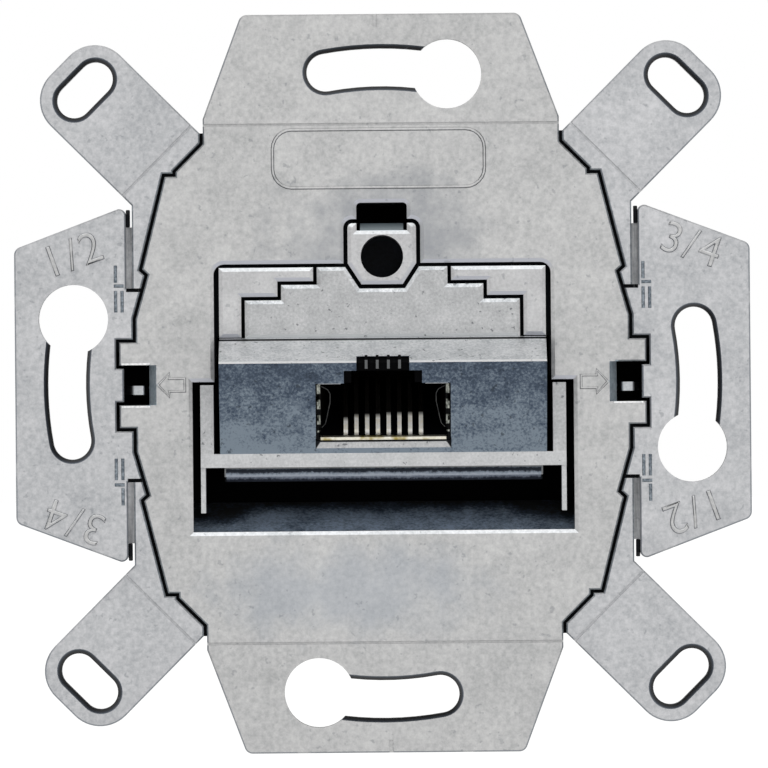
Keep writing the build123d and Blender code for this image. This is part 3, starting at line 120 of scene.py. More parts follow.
def castingSpot(tree, look):
    # where a point of a casting lies, in millimetres, which way it faces, and its fine and coarse mottle
    position = addNode(tree, "TexCoord").outputs["Object"]
    place = placeOf(tree, position)
    normal = addNode(tree, "SeparateXYZ", [addNode(tree, "NewGeometry").outputs["True Normal"]]).outputs
    grain = addNode(tree, "TexNoise", [position, 1 / (look["grainSize"] * mm), *look["grainNoise"]])
    cloud = addNode(tree, "TexNoise", [position, 1 / (look["cloudSize"] * mm), *look["cloudNoise"]])
    cloudPart = addNode(tree, "Math", [cloud, 1 - look["grainShare"]], operation="MULTIPLY")
    return {
        "position": position, "grain": grain, "cloud": cloud,
        "mixed": addNode(tree, "Math", [grain, look["grainShare"], cloudPart], operation="MULTIPLY_ADD"),
        "x": place["X"], "height": place["Z"],
        "depth": addNode(tree, "Math", [place["Y"], plateFront / mm], operation="SUBTRACT"),
        "sideways": addNode(tree, "Math", [place["X"]], operation="ABSOLUTE"),
        "upOrDown": addNode(tree, "Math", [place["Z"]], operation="ABSOLUTE"),
        "backward": normal["Y"], "upward": normal["Z"],
        "facing": addNode(tree, "Math", [normal["Y"]], operation="ABSOLUTE"),
    }


def tarnishShare(tree, spot, tarnish, patch):
    # a soft-edged patch where the casting has gone duller
    across = addNode(tree, "Math", [spot["x"], 1 / patch["halfWidth"], -patch["x"] / patch["halfWidth"]],
                     operation="MULTIPLY_ADD")
    up = addNode(tree, "Math", [spot["height"], 1 / patch["halfHeight"], -patch["z"] / patch["halfHeight"]],
                 operation="MULTIPLY_ADD")
    upSquared = addNode(tree, "Math", [up, up], operation="MULTIPLY")
    squares = addNode(tree, "Math", [across, across, upSquared], operation="MULTIPLY_ADD")
    spread = addNode(tree, "Math", [squares], operation="SQRT")
    centred = addNode(tree, "Math", [spot["cloud"], 0.5], operation="SUBTRACT")
    uneven = addNode(tree, "Math", [centred, tarnish["unevenness"], spread], operation="MULTIPLY_ADD")
    return addNode(tree, "MapRange", [uneven, *tarnish["fade"], 0.0, patch["share"]])


def brightTone(tree, spot, look):
    # the tumbled faces that look to the front or back
    tone = addNode(tree, "ValToRGB", [spot["mixed"]], look["brightStops"])
    if "paleBelow" in look:
        # the port casting is mixed a little towards a paler tone from the ledge below the port downwards
        paleBelow = look["paleBelow"]
        share = addNode(tree, "MapRange", [spot["height"], *paleBelow["band"], 0.0, paleBelow["share"]])
        tone = addNode(tree, "Mix", [share, tone, paleBelow["colour"]], data_type="RGBA")
    if "tarnish" in look:
        for patch in look["tarnish"]["patches"]:
            share = tarnishShare(tree, spot, look["tarnish"], patch)
            tone = addNode(tree, "Mix", [share, tone, patch["colour"]], data_type="RGBA")
    return tone


def leanShadeTone(tree, spot, look):
    # painted shade on surfaces that lean away from the front, bluish where they would be lit and black where
    # they would lie in shade
    lit = spot["mixed"]
    if "shade" in look:
        shade = look["shade"]
        corner = addNode(tree, "MapRange", [spot["sideways"], *shade["cornerBand"]])
        level = addNode(tree, "Math", [corner, shade["cornerDrop"], spot["height"]],
                        operation="MULTIPLY_ADD")
        lift = addNode(tree, "MapRange", [level, *shade["band"], 0.0, shade["lift"]])
        lit = addNode(tree, "Math", [lit, lift], operation="ADD")
    tone = addNode(tree, "ValToRGB", [lit], look["leanShadeStops"])
    # painted shade on the sloping rims of the slots and keyholes, out past the plate's middle: darker as
    # they go in
    reach = addNode(tree, "Math", [spot["sideways"], spot["upOrDown"]], operation="MAXIMUM")
    rimDepth = addNode(tree, "MapRange", [spot["depth"], 0.0, look["rimDepth"]])
    rimShadeTone = addNode(tree, "ValToRGB", [rimDepth], look["rimShadeStops"])
    outside = addNode(tree, "MapRange", [reach, *look["rimReach"]])
    return addNode(tree, "Mix", [outside, tone, rimShadeTone], data_type="RGBA")


def leanShadeShare(tree, spot, look):
    # how much painted shade a surface gets by how far it leans away from the front or back, apart from
    # shallow
    # bevels that face up: they stay bright
    lean = addNode(tree, "ValToRGB", [spot["facing"]], look["leanStops"])
    upwardBevel = insideShare(tree, (spot["facing"], look["bevelFacing"]), (spot["upward"], look["bevelUp"]))
    otherwise = addNode(tree, "Math", [1.0, upwardBevel], operation="SUBTRACT")
    lean = addNode(tree, "Math", [lean, otherwise], operation="MULTIPLY")
    # along the fold groove across the arms the painted shade is cut down, so the groove shows faintly
    diagonal = addNode(tree, "Math", [spot["sideways"], spot["upOrDown"]], operation="ADD")
    offGroove = addNode(tree, "Math", [diagonal, look["grooveAt"]], operation="SUBTRACT")
    besideGroove = addNode(tree, "Math", [offGroove], operation="ABSOLUTE")
    kept = addNode(tree, "MapRange", [besideGroove, *look["grooveBand"], look["grooveShare"], 1.0])
    return addNode(tree, "Math", [lean, kept], operation="MULTIPLY")


def recessShadeShare(tree, spot, look):
    # painted shade on front faces that lie deeper than the plate's front, with a streaky edge
    stretched = addNode(tree, "VectorMath", [spot["position"], (1, 1, look["streakStretch"])],
                        operation="MULTIPLY")
    noise = addNode(tree, "TexNoise", [stretched, 1 / (look["streakSize"] * mm), *look["streakNoise"]])
    streaks = addNode(tree, "Math", [noise, look["streakDepth"], -look["streakDepth"] / 2],
                      operation="MULTIPLY_ADD")
    uneven = addNode(tree, "Math", [spot["depth"], streaks], operation="ADD")
    return insideShare(tree, (uneven, look["recessShadeBand"]), (spot["backward"], look["recessShadeFacing"]))


def notchShare(tree, spot, notch):
    # the sloping end of a catch notch, given a painted light bluish tone in place of the painted shade of
    # other leaning faces
    return insideShare(tree, (spot["sideways"], notch["inner"]), (spot["sideways"], notch["outer"]),
                       (spot["upOrDown"], notch["half"]), (spot["facing"], notch["facing"]))


def lipShades(tree, spot, lip):
    # painted shade on the lip under the ledge and the step behind the screw lug, dark at the top where they
    # lie in shade, and painted light further down
    centred = addNode(tree, "Math", [spot["mixed"], 0.5], operation="SUBTRACT")
    level = addNode(tree, "Math", [centred, lip["unevenness"], spot["height"]], operation="MULTIPLY_ADD")
    down = addNode(tree, "MapRange", [level, lip["top"], lip["foot"]])
    share = insideShare(tree, (spot["height"], (lip["top"], lip["top"] - lip["fade"])),
                        (spot["height"], (lip["foot"] - lip["fade"], lip["foot"])),
                        (spot["sideways"], (lip["side"] + lip["fade"], lip["side"])))
    return share, addNode(tree, "ValToRGB", [down], lip["stops"])


def creaseShadeShare(tree, spot, creaseShades):
    # painted shade in the crease under the panel and in the corners of the port's opening
    height, sideways = spot["height"], spot["sideways"]
    panelCrease = insideShare(tree, (height, creaseShades["panelTop"]), (height, creaseShades["panelFoot"]))
    below = addNode(tree, "Math", [creaseShades["lipFoot"], height], operation="SUBTRACT")
    corner = addNode(tree, "Math", [below, -creaseShades["cornerSlope"], sideways], operation="MULTIPLY_ADD")
    lipCrease = addNode(tree, "MapRange", [below, *creaseShades["lipBand"]])
    corners = addNode(tree, "MapRange", [corner, *creaseShades["cornerBand"]])
    filled = addNode(tree, "Math", [lipCrease, corners], operation="MAXIMUM")
    opening = insideShare(tree, (below, creaseShades["openingTop"]), (below, creaseShades["openingFoot"]),
                          (sideways, creaseShades["openingSide"]))
    portCreases = addNode(tree, "Math", [opening, filled], operation="MULTIPLY")
    return addNode(tree, "Math", [panelCrease, portCreases], operation="MAXIMUM")


def castZinc(name, look):
    # die-cast zinc, tumbled after casting: satin grey and finely mottled, with painted highlights on its
    # shallow bevels that face up, and painted shade on its leaning faces, on the walls and in the recesses
    material, tree, surface = newMaterial(name)
    spot = castingSpot(tree, look)
    layers = [(leanShadeShare(tree, spot, look), leanShadeTone(tree, spot, look))]
    if "strip" in look:
        # painted light on the strip above the slanted face, which looks up and is the brightest, and a
        # painted highlight along its lower edge
        strip = look["strip"]
        sides = [(spot["upward"], strip["up"]), (spot["facing"], strip["facing"])]
        stripLightTone = addNode(tree, "ValToRGB", [spot["mixed"]], strip["stops"])
        layers.append((insideShare(tree, *sides), stripLightTone))
        layers.append((insideShare(tree, *sides, (spot["height"], strip["edge"])), strip["edgeHighlightColour"]))
    # shallow bevels get a painted highlight where they face up, and a painted shade where they face down,
    # which the port paints pale
    wearOrBevelLight = addNode(tree, "ValToRGB", [spot["facing"]], look["bevelStops"])
    paintedGlint = addNode(tree, "ValToRGB", [spot["mixed"]], look["highlightStops"])
    for band, tone in ((look["highlightUp"], paintedGlint), (look["shadedDown"], look["shadedColour"])):
        turned = addNode(tree, "MapRange", [spot["upward"], *band])
        layers.append((addNode(tree, "Math", [wearOrBevelLight, turned], operation="MULTIPLY"), tone))
    # dark casting skin left in small pits
    pits = addNode(tree, "TexNoise", [spot["position"], 1 / (look["pitSize"] * mm), *look["pitNoise"]])
    pitted = addNode(tree, "MapRange", [pits, *look["pitBand"], 0.0, look["pitShare"]])
    layers.append((pitted, look["pitColour"]))
    # painted shade on front faces in the recesses
    recessShadeTone = addNode(tree, "ValToRGB", [spot["mixed"]], look["recessShadeStops"])
    layers.append((recessShadeShare(tree, spot, look), recessShadeTone))
    notchTone = addNode(tree, "ValToRGB", [spot["mixed"]], look["notch"]["stops"])
    layers.append((notchShare(tree, spot, look["notch"]), notchTone))
    if "lip" in look:
        layers.append(lipShades(tree, spot, look["lip"]))
    if "creaseShades" in look:
        layers.append((creaseShadeShare(tree, spot, look["creaseShades"]), look["creaseShades"]["colour"]))
    finished = brightTone(tree, spot, look)
    for share, tone in layers:
        finished = addNode(tree, "Mix", [share, finished, tone], data_type="RGBA")
    bump = {"Strength": look["bumpStrength"], "Distance": look["bumpHeight"] * mm, "Height": spot["mixed"]}
    fillSockets(tree, surface, {
        "Base Color": finished, "Metallic": look["metallic"], "Normal": addNode(tree, "Bump", bump),
        "Roughness": addNode(tree, "MapRange", [spot["grain"], 0.0, 1.0, *look["roughness"]]),
    })
    return material


# sizes and places are in millimetres, a noise has its detail and roughness, and a pair of limits says
# where a share is 0 and where it is 1: of a place, or of the direction in which a surface looks
plateLook = {
    "grainSize": 0.4, "grainNoise": (4.0, 0.65), "grainShare": 0.66,
    "cloudSize": 4.5, "cloudNoise": (5.0, 0.6),
    "brightStops": [(0.34, "#A3A4A4"), (0.5, "#B7B7B7"), (0.68, "#C8C8C7")],
    # painted shade on leaning faces and deep rims, painted highlights on shallow bevels that face up,
    # painted light on the notch slope
    "leanShadeStops": [(0.38, "#3E4852"), (0.62, "#7D8C96")],
    "leanStops": [(0.0, 0.35), (0.3, 0.9), (0.6, 0.95), (0.7, 0.6), (0.88, 0.0)],
    "bevelFacing": (0.62, 0.68), "bevelUp": (0.35, 0.6),
    "rimShadeStops": [(0.0, "#7F8791"), (0.22, "#363D48"), (0.55, "#0A0D12"), (1.0, "#030406")],
    "rimDepth": 0.75, "rimReach": (24.0, 24.2),
    "grooveAt": 42.75, "grooveBand": (0.5, 0.7), "grooveShare": 0.33,
    "bevelStops": [(0.87, 0.0), (0.9, 1.0), (0.94, 1.0), (0.97, 0.0)],
    "highlightUp": (0.1, 0.3), "highlightStops": [(0.4, "#C6C9CB"), (0.62, "#E6E8EA")],
    "shadedDown": (-0.1, -0.3), "shadedColour": "#B7B9C0",
    "pitSize": 0.7, "pitNoise": (2.0, 0.5), "pitBand": (0.68, 0.73), "pitShare": 0.35,
    "pitColour": "#6E7378",
    "recessShadeStops": [(0.36, "#060708"), (0.64, "#15181D")], "recessShadeBand": (0.76, 1.25),
    "recessShadeFacing": (-0.7, -0.8),
    "streakSize": 0.35, "streakNoise": (2.0, 0.5), "streakStretch": 0.08, "streakDepth": 0.6,
    "notch": {"inner": (21.3, 21.4), "outer": (22.4, 22.3), "half": (2.05, 1.95), "facing": (0.95, 0.9),
              "stops": [(0.4, "#B4C2CC"), (0.6, "#D3DEE5")]},
    "metallic": 0.85, "roughness": (0.42, 0.6), "bumpStrength": 0.25, "bumpHeight": 0.02,
}
portLook = {
    **plateLook,
    "grainSize": 0.26, "cloudSize": 1.8, "grainShare": 0.62,
    "brightStops": [(0.36, "#9D9E9F"), (0.5, "#AFB0B1"), (0.66, "#C4C4C5")],
    "paleBelow": {"band": (-6.5, -6.6), "share": 0.15, "colour": "#F0F1F2"},
    "leanShadeStops": [(0.34, "#202B39"), (0.5, "#3F4D5F"), (0.66, "#7A8793")],
    "shade": {"band": (1.0, -6.6), "lift": 0.17, "cornerBand": (11.5, 15.0), "cornerDrop": 0.0},
    # painted shade on the slanted face, which looks down
    "leanStops": [(0.0, 0.35), (0.3, 0.0), (0.6, 0.0), (0.8, 0.95), (0.88, 0.95), (0.905, 0.0)],
    # painted light on the strip, and a painted highlight along its lower edge
    "strip": {"up": (0.8, 0.88), "facing": (0.36, 0.42), "stops": [(0.34, "#BDC1C3"), (0.6, "#EFF0F1")],
              "edge": (2.2, 2.1), "edgeHighlightColour": "#FFFFFF"},
    "bevelStops": [(0.885, 0.0), (0.91, 1.0), (0.94, 1.0), (0.97, 0.0)],
    "highlightStops": [(0.4, "#AFB3B6"), (0.62, "#DFE1E3")], "shadedColour": "#DDDFE0",
    "pitSize": 0.6, "pitBand": (0.66, 0.71), "pitShare": 0.6, "pitColour": "#2A3038",
    "recessShadeStops": [(0.36, "#060708"), (0.64, "#1D2127")], "recessShadeBand": (0.6, 4.4), "streakDepth": 0.0,
    # painted shade in the crease under the panel and in the corners of the port's opening
    "creaseShades": {"panelTop": (4.31, 4.28), "panelFoot": (4.09, 4.12), "lipFoot": -5.4,
                "lipBand": (0.17, 0.12), "cornerSlope": 0.65, "cornerBand": (5.85, 5.95),
                "openingTop": (-0.25, -0.2), "openingFoot": (0.85, 0.8), "openingSide": (6.46, 6.42),
                "colour": "#0E1115"},
    # painted shade and painted light on the lip under the ledge
    "lip": {"top": -8.03, "foot": -9.4, "side": 15.0, "fade": 0.02, "unevenness": 0.8,
            "stops": [(0.0, "#565D66"), (0.08, "#20252D"), (0.26, "#282D36"), (0.38, "#8B94A0"),
                      (0.52, "#A4ABB5"), (0.66, "#7C8390"), (0.78, "#2B2F3A"), (1.0, "#16181F")]},
    "bumpStrength": 0.3,
}
# the rear housing's sill is painted bluish grey, with painted shade going black where the ledge shades it
tubLook = {
    **plateLook,
    "grainSize": 0.3, "cloudSize": 3.4, "grainShare": 0.5,
    "brightStops": [(0.34, "#A5A5A6"), (0.5, "#B9B9BA"), (0.68, "#CBCBCB")],
    "leanShadeStops": [(0.52, "#020304"), (0.66, "#3C4C60"), (0.9, "#B6C8DC")],
    "shade": {"band": (-11.25, -12.5), "lift": 0.33, "cornerBand": (11.5, 15.0), "cornerDrop": 1.1},
    "leanStops": [(0.0, 0.0), (0.15, 0.0), (0.3, 0.9), (0.6, 0.95), (0.7, 0.6), (0.88, 0.0)],
    # painted shade and painted light on the step behind the screw lug
    "lip": {"top": 15.4, "foot": 14.48, "side": 2.1, "fade": 0.02, "unevenness": 0.3,
            "stops": [(0.0, "#3C474E"), (0.3, "#93A2A9"), (0.75, "#C0CDD2"), (1.0, "#D2DCE0")]},
}
# the rear cover's rounded edges get only a pale painted shade, nearly as bright as its faces
coverLook = {
    **plateLook,
    "grainSize": 0.3, "grainShare": 0.7, "leanShadeStops": [(0.38, "#8E949A"), (0.62, "#B9BDC0")],
    "leanStops": [(0.0, 0.0), (0.15, 0.2), (0.5, 0.6), (0.7, 0.4), (0.88, 0.0)],
}
# fine raised marks: painted shade, dark, on their sides, which a flat plate doesn't show
markLook = {
    **plateLook,
    "leanStops": [(0.0, 0.35), (0.3, 0.9), (0.6, 0.95), (0.8, 0.75), (0.97, 0.0)],
    "leanShadeStops": [(0.38, "#15181D"), (0.62, "#4A525C")], "rimReach": (60.0, 60.2),
}
# the centre plate is a little tarnished round the screw lug and below the window
carrierLook = {
    **plateLook,
    "tarnish": {"unevenness": 2.0, "fade": (1.1, 0.3), "patches": [
        {"x": -0.6, "z": 12.9, "halfWidth": 11.0, "halfHeight": 7.2, "share": 0.8, "colour": "#8E9196"},
        {"x": -3.6, "z": -19.4, "halfWidth": 14.0, "halfHeight": 5.0, "share": 0.4, "colour": "#9FA6B0"},
    ]},
}
# the brackets have a faint blue cast
bracketLook = {**plateLook, "brightStops": [(0.34, "#A0A2A5"), (0.5, "#B6B7B9"), (0.68, "#CACACC")]}
zincCasting = castZinc("dieCastZinc", plateLook)
zincCarrierCasting = castZinc("dieCastZincCarrier", carrierLook)
zincBracketCasting = castZinc("dieCastZincBracket", bracketLook)
zincMarks = castZinc("dieCastZincMarks", markLook)
zincTubCasting = castZinc("dieCastZincTub", tubLook)
zincCoverCasting = castZinc("dieCastZincCover", coverLook)
zincPortCasting = castZinc("dieCastZincPort", portLook)

mottle = {"detail": 4.0, "roughness": 0.6, "bumpStrength": 0.1, "bumpHeight": 0.01}


def mottled(name, stops, sizeInMm, metallic, roughness):
    # a plain surface with a fine uneven tone
    material, tree, surface = newMaterial(name)
    position = addNode(tree, "TexCoord").outputs["Object"]
    grain = addNode(tree, "TexNoise", [position, 1 / (sizeInMm * mm), mottle["detail"], mottle["roughness"]])
    fillSockets(tree, surface, {
        "Base Color": addNode(tree, "ValToRGB", [grain], stops), "Metallic": metallic,
        "Roughness": addNode(tree, "MapRange", [grain, 0.0, 1.0, *roughness]),
        "Normal": addNode(tree, "Bump", {"Strength": mottle["bumpStrength"], "Height": grain,
                                         "Distance": mottle["bumpHeight"] * mm}),
    })
    return material


# the lines of the sunk signs are drawn in a darker bluish grey
zincSignTone = mottled("bluishSignZinc", [(0.34, "#525A62"), (0.66, "#939BA2")], 0.3, 0.85, (0.5, 0.65))


def portMetal(name, look):
    # plated metal of the port, bright at its mouth, with painted shade that darkens it further in
    material, tree, surface = newMaterial(name)
    position = addNode(tree, "TexCoord").outputs["Object"]
    grain = addNode(tree, "TexNoise", [position, 1 / (look["grainSize"] * mm), *look["grainNoise"]])
    bright = addNode(tree, "ValToRGB", [grain], look["brightStops"])
    depth = portDepthOf(tree, position)
    if "earlier" in look:
        # the painted shade starts earlier by the millimetres given, from place to place across the port
        across = addNode(tree, "MapRange", [placeOf(tree, position)["X"], *look["across"]])
        earlier = addNode(tree, "ValToRGB", [across], look["earlier"])
        depth = addNode(tree, "Math", [depth, earlier], operation="ADD")
    deepShade = addNode(tree, "MapRange", [depth, *look["depthBand"]])
    fillSockets(tree, surface, {
        "Base Color": addNode(tree, "Mix", [deepShade, bright, look["deepShadeColour"]], data_type="RGBA"),
        "Metallic": look["metallic"],
        "Roughness": addNode(tree, "MapRange", [grain, 0.0, 1.0, *look["roughness"]]),
    })
    return material


def wornAndShadedSheet(name, look):
    # the shield's sheet: its lip worn pale in patches, with painted shade on its sides and further in
    material = portMetal(name, look)
    tree = material.node_tree
    surface = tree.nodes["Principled BSDF"]
    position = addNode(tree, "TexCoord").outputs["Object"]
    place = placeOf(tree, position)
    sideways = addNode(tree, "Math", [place["X"]], operation="ABSOLUTE")
    patchNoise = addNode(tree, "TexNoise", [position, 1 / (look["patchSize"] * mm), *look["patchNoise"]])
    patches = insideShare(tree, (patchNoise, look["patchBand"]),
                          (portDepthOf(tree, position), look["patchDepth"]))
    plain = surface.inputs["Base Color"].links[0].from_socket
    wearOrBevelLight = addNode(tree, "Mix", [patches, plain, look["patchColour"]], data_type="RGBA")
    sideNoise = addNode(tree, "TexNoise", [position, 1 / (look["sideSize"] * mm), *look["grainNoise"]])
    sideShadeTone = addNode(tree, "ValToRGB", [sideNoise], look["sideShadeStops"])
    # painted shadow on the sides at the foot, along their outer edge and between the tabs that bear on
    # the housing
    turns = addNode(tree, "Math", [place["Z"], math.tau / look["tabPitch"],
                                   -math.tau * look["tabAt"] / look["tabPitch"]], operation="MULTIPLY_ADD")
    between = addNode(tree, "Math", [turns], operation="COSINE")
    shadow = addNode(tree, "MapRange", [between, *look["betweenTabs"]])
    for value, band in ((place["Z"], look["sideFoot"]), (sideways, look["sideEdge"])):
        shaded = addNode(tree, "MapRange", [value, *band])
        shadow = addNode(tree, "Math", [shadow, shaded], operation="MAXIMUM")
    sideShadeTone = addNode(tree, "Mix", [shadow, sideShadeTone, look["shadowColour"]], data_type="RGBA")
    atSide = addNode(tree, "MapRange", [sideways, *look["side"]])
    finished = addNode(tree, "Mix", [atSide, wearOrBevelLight, sideShadeTone], data_type="RGBA")
    fillSockets(tree, surface, {"Base Color": finished})
    return material


# gold over nickel on drawn wire: pale and smooth, with a painted sheen that makes its tone bright, because a
# metallic wire would mirror little but the dark inside of the port; further in, painted shade darkens it
goldWire = portMetal("goldPlatedWire", {
    "grainSize": 0.3, "grainNoise": (3.0, 0.55), "brightStops": [(0.3, "#FFF8E4"), (0.7, "#FFFFFF")],
    "deepShadeColour": "#0B0907", "depthBand": (2.75, 3.3), "metallic": 0.0, "roughness": (0.2, 0.3),
    "across": (-4.0, 4.0),
    "earlier": [(0.0, 0.57), (0.1, 0.57), (0.13, 0.22), (0.48, 0.22), (0.52, 0.02), (1.0, 0.02)],
})
# tin-plated bronze sheet: pale yellowish and satin
portSheet = wornAndShadedSheet("tinPlatedBronze", {
    "grainSize": 0.3, "grainNoise": (3.0, 0.55), "brightStops": [(0.3, "#D6D1BE"), (0.7, "#F2EFE4")],
    "deepShadeColour": "#211F1A", "depthBand": (0.8, 1.15), "metallic": 0.9, "roughness": (0.25, 0.4),
    "patchSize": 1.5, "patchNoise": (2.0, 0.5), "patchBand": (0.47, 0.6), "patchDepth": (0.8, 0.7),
    "patchColour": "#A39354",
    "side": (5.93, 5.98), "sideSize": 0.4, "sideShadeStops": [(0.36, "#4A4D49"), (0.62, "#A9ACA4")],
    "sideFoot": (-4.55, -4.65), "sideEdge": (6.24, 6.29), "shadowColour": "#050607",
    "tabPitch": 1.45, "tabAt": -0.52, "betweenTabs": (-0.25, -0.4),
})

blackPlastic = {"specular": 0.03, "ribDepth": (0.4, 0.3), "ribHeight": (1.0, 1.3), "ribGlintColour": "#7F8183"}


def blackMoulding(name, stops, sizeInMm, roughness, ribbed=False):
    # moulded black plastic with hardly any gloss, its rib tips given a painted grey glint
    material = mottled(name, stops, sizeInMm, 0.0, roughness)
    tree = material.node_tree
    surface = tree.nodes["Principled BSDF"]
    surface.inputs["Specular IOR Level"].default_value = blackPlastic["specular"]
    if ribbed:
        position = addNode(tree, "TexCoord").outputs["Object"]
        plain = surface.inputs["Base Color"].links[0].from_socket
        paintedGlint = insideShare(tree, (portDepthOf(tree, position), blackPlastic["ribDepth"]),
                             (placeOf(tree, position)["Z"], blackPlastic["ribHeight"]))
        finished = addNode(tree, "Mix", [paintedGlint, plain, blackPlastic["ribGlintColour"]], data_type="RGBA")
        fillSockets(tree, surface, {"Base Color": finished})
    return material


# moulded glass-filled polyester: black and dull
portPlastic = blackMoulding("mouldedBlackPolyester", [(0.3, "#020203"), (0.7, "#060608")], 0.25, (0.5, 0.7),
                            ribbed=True)
insulation = blackMoulding("mouldedBlackPolyamide", [(0.3, "#040405"), (0.7, "#09090B")], 0.3, (0.6, 0.8))
# rolled stainless strip: cool grey with a soft sheen
springStrip = mottled("rolledStainlessSteel", [(0.3, "#9A9DA0"), (0.7, "#B6B9BB")], 0.3, 1.0, (0.3, 0.42))
# glass-epoxy board under a green solder mask: glossy and slightly uneven
board = mottled("solderMaskedBoard", [(0.35, "#123F23"), (0.65, "#1C5631")], 0.5, 0.0, (0.25, 0.4))
# moulded polyamide: light grey and slightly rough
blockPlastic = mottled("mouldedGreyPolyamide", [(0.3, "#B9BAB4"), (0.7, "#C9CAC4")], 0.4, 0.0, (0.4, 0.55))
# tinned bronze blades: pale and satin
blade = mottled("tinnedBronzeBlade", [(0.3, "#AEB0AE"), (0.7, "#CCCDC9")], 0.3, 1.0, (0.28, 0.42))
# zinc-plated steel: cool, with a faint blue cast
platedSteel = mottled("zincPlatedSteel", [(0.3, "#9EA3AA"), (0.7, "#C3C7CB")], 0.6, 1.0, (0.28, 0.45))

slotMaterials = {
    "zinc_casting": zincCasting, "zinc_port_casting": zincPortCasting, "gold_plated_wire": goldWire,
    "black_port_plastic": portPlastic, "black_insulation": insulation, "port_sheet": portSheet,
    "spring_steel": springStrip, "board_laminate": board, "terminal_plastic": blockPlastic,
    "tinned_bronze": blade, "clamp_steel": platedSteel, "screw_steel": platedSteel,
}
ownMaterials = {"carrier_plate": zincCarrierCasting, "left_side_bracket": zincBracketCasting,
                "right_side_bracket": zincBracketCasting, "rear_housing": zincTubCasting,
                "rear_cover": zincCoverCasting}
for part in frame["record"]["subparts"]:
    node = frame["nodes"][part["node"]]
    node.data.materials.clear()
    node.data.materials.append(ownMaterials.get(part["node"], slotMaterials[part["material_slot"]]))
print("materials set on the cast, moulded and plated parts")


# Marks cast into the plate and the wings

def showObject(name, data):
    # puts a mesh, curve, lamp or camera in the scene
    made = bpy.data.objects.new(name, data)
    bpy.context.scene.collection.objects.link(made)
    return made


def finishMark(piece, material):
    piece.data.materials.clear()
    piece.data.materials.append(material)
    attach(piece, "root")


def meshFrom(curve, name, placing):
    # a text or line curve made a mesh at its place in the frame
    curveObject = showObject(name, curve)
    bpy.context.view_layer.update()
    graph = bpy.context.evaluated_depsgraph_get()
    mesh = bpy.data.meshes.new_from_object(curveObject.evaluated_get(graph))
    bpy.data.objects.remove(curveObject)
    mesh.transform(placing)
    return showObject(name, mesh)


def onPlate(x, z, turn=0.0):
    # where a mark drawn in its own plane goes on the plate's front, turned as seen from the front
    upright = Matrix.Rotation(math.radians(90), 4, "X")
    turned = Matrix.Rotation(math.radians(turn), 4, "Z")
    return Matrix.Translation((x * mm, plateFront, z * mm)) @ upright @ turned


wingNumbers = {
    "size": 4.3, "height": 0.1, "edge": 0.13, "spacing": 1.1,
    "places": [("wing_number_left_top", "1/2", -29.4, 12.3, 19.5),
               ("wing_number_right_top", "3/4", 29.3, 12.8, -19.5),
               ("wing_number_left_bottom", "3/4", -29.3, -12.8, 160.5),
               ("wing_number_right_bottom", "1/2", 29.4, -12.3, 199.5)],
}
for name, words, x, z, turn in wingNumbers["places"]:
    text = bpy.data.curves.new(name, "FONT")
    text.body = words
    text.size = wingNumbers["size"] * mm
    text.align_x = "CENTER"
    text.align_y = "CENTER"
    text.extrude = wingNumbers["height"] / 2 * mm
    text.offset = -wingNumbers["edge"] * mm
    text.bevel_depth = wingNumbers["edge"] * mm
    text.space_character = wingNumbers["spacing"]
    finishMark(meshFrom(text, name, onPlate(x, z, turn)), zincMarks)


def lineMark(name, lines, look, placing, material=zincMarks, closed=False):
    # fine raised lines, half sunk in what carries them, and lower than round by the share flat gives
    curve = bpy.data.curves.new(name, "CURVE")
    curve.dimensions = "3D"
    curve.bevel_depth = look["line"] * mm
    curve.bevel_resolution = 1
    for points in lines:
        spline = curve.splines.new("POLY")
        spline.points.add(len(points) - 1)
        spline.use_cyclic_u = closed
        for point, (x, z) in zip(spline.points, points):
            point.co = (x * mm, z * mm, 0, 1)
    lowered = placing @ Matrix.Scale(look["flat"], 4, Vector((0, 0, 1)))
    finishMark(meshFrom(curve, name, lowered), material)


def roundedOutline(halfWidth, halfHeight, radius, steps=6):
    points = []
    for quarter, (sx, sz) in enumerate([(1, 1), (-1, 1), (-1, -1), (1, -1)]):
        for step in range(steps + 1):
            angle = math.radians(90 * (quarter + step / steps))
            points.append((sx * (halfWidth - radius) + radius * math.cos(angle),
                           sz * (halfHeight - radius) + radius * math.sin(angle)))
    return points


pad = {"x": -0.25, "z": 21.35, "halfWidth": 10.05, "halfHeight": 2.75, "radius": 1.8, "line": 0.16,
       "flat": 0.5}
lineMark("pad_outline", [roundedOutline(pad["halfWidth"], pad["halfHeight"], pad["radius"])], pad,
         onPlate(pad["x"], pad["z"]), closed=True)

# arrows that point to the catch notches
arrow = {"tip": 21.35, "headBack": 20.3, "headHalf": 1.1, "shaftHalf": 0.6, "tail": 18.8, "line": 0.17,
         "flat": 0.35}
arrowSide = [(arrow["headBack"], arrow["headHalf"]), (arrow["headBack"], arrow["shaftHalf"]),
             (arrow["tail"], arrow["shaftHalf"])]
arrowPoints = [(arrow["tip"], 0)] + arrowSide + [(x, -z) for x, z in reversed(arrowSide)]
for name, turn in (("catch_arrow_right", 0), ("catch_arrow_left", 180)):
    lineMark(name, [arrowPoints], arrow, onPlate(0, 0, turn), closed=True)

# painted highlights: fine bright lines along the catch notches' upper and lower edges
notchHighlight = mottled("highlightZinc", [(0.36, "#D4D6D7"), (0.62, "#F6F6F5")], 0.3, 0.85, (0.42, 0.6))
notchHighlightLine = {"line": 0.11, "flat": 0.35,
             "places": [("notch_highlight_left_top", -24.8, -22.1, 2.0),
                        ("notch_highlight_left_bottom", -24.8, -22.1, -2.05),
                        ("notch_highlight_right_bottom", 21.9, 24.7, -2.0)]}
for name, start, end, z in notchHighlightLine["places"]:
    lineMark(name, [[(start, z), (end, z)]], notchHighlightLine, onPlate(0, 0), notchHighlight)

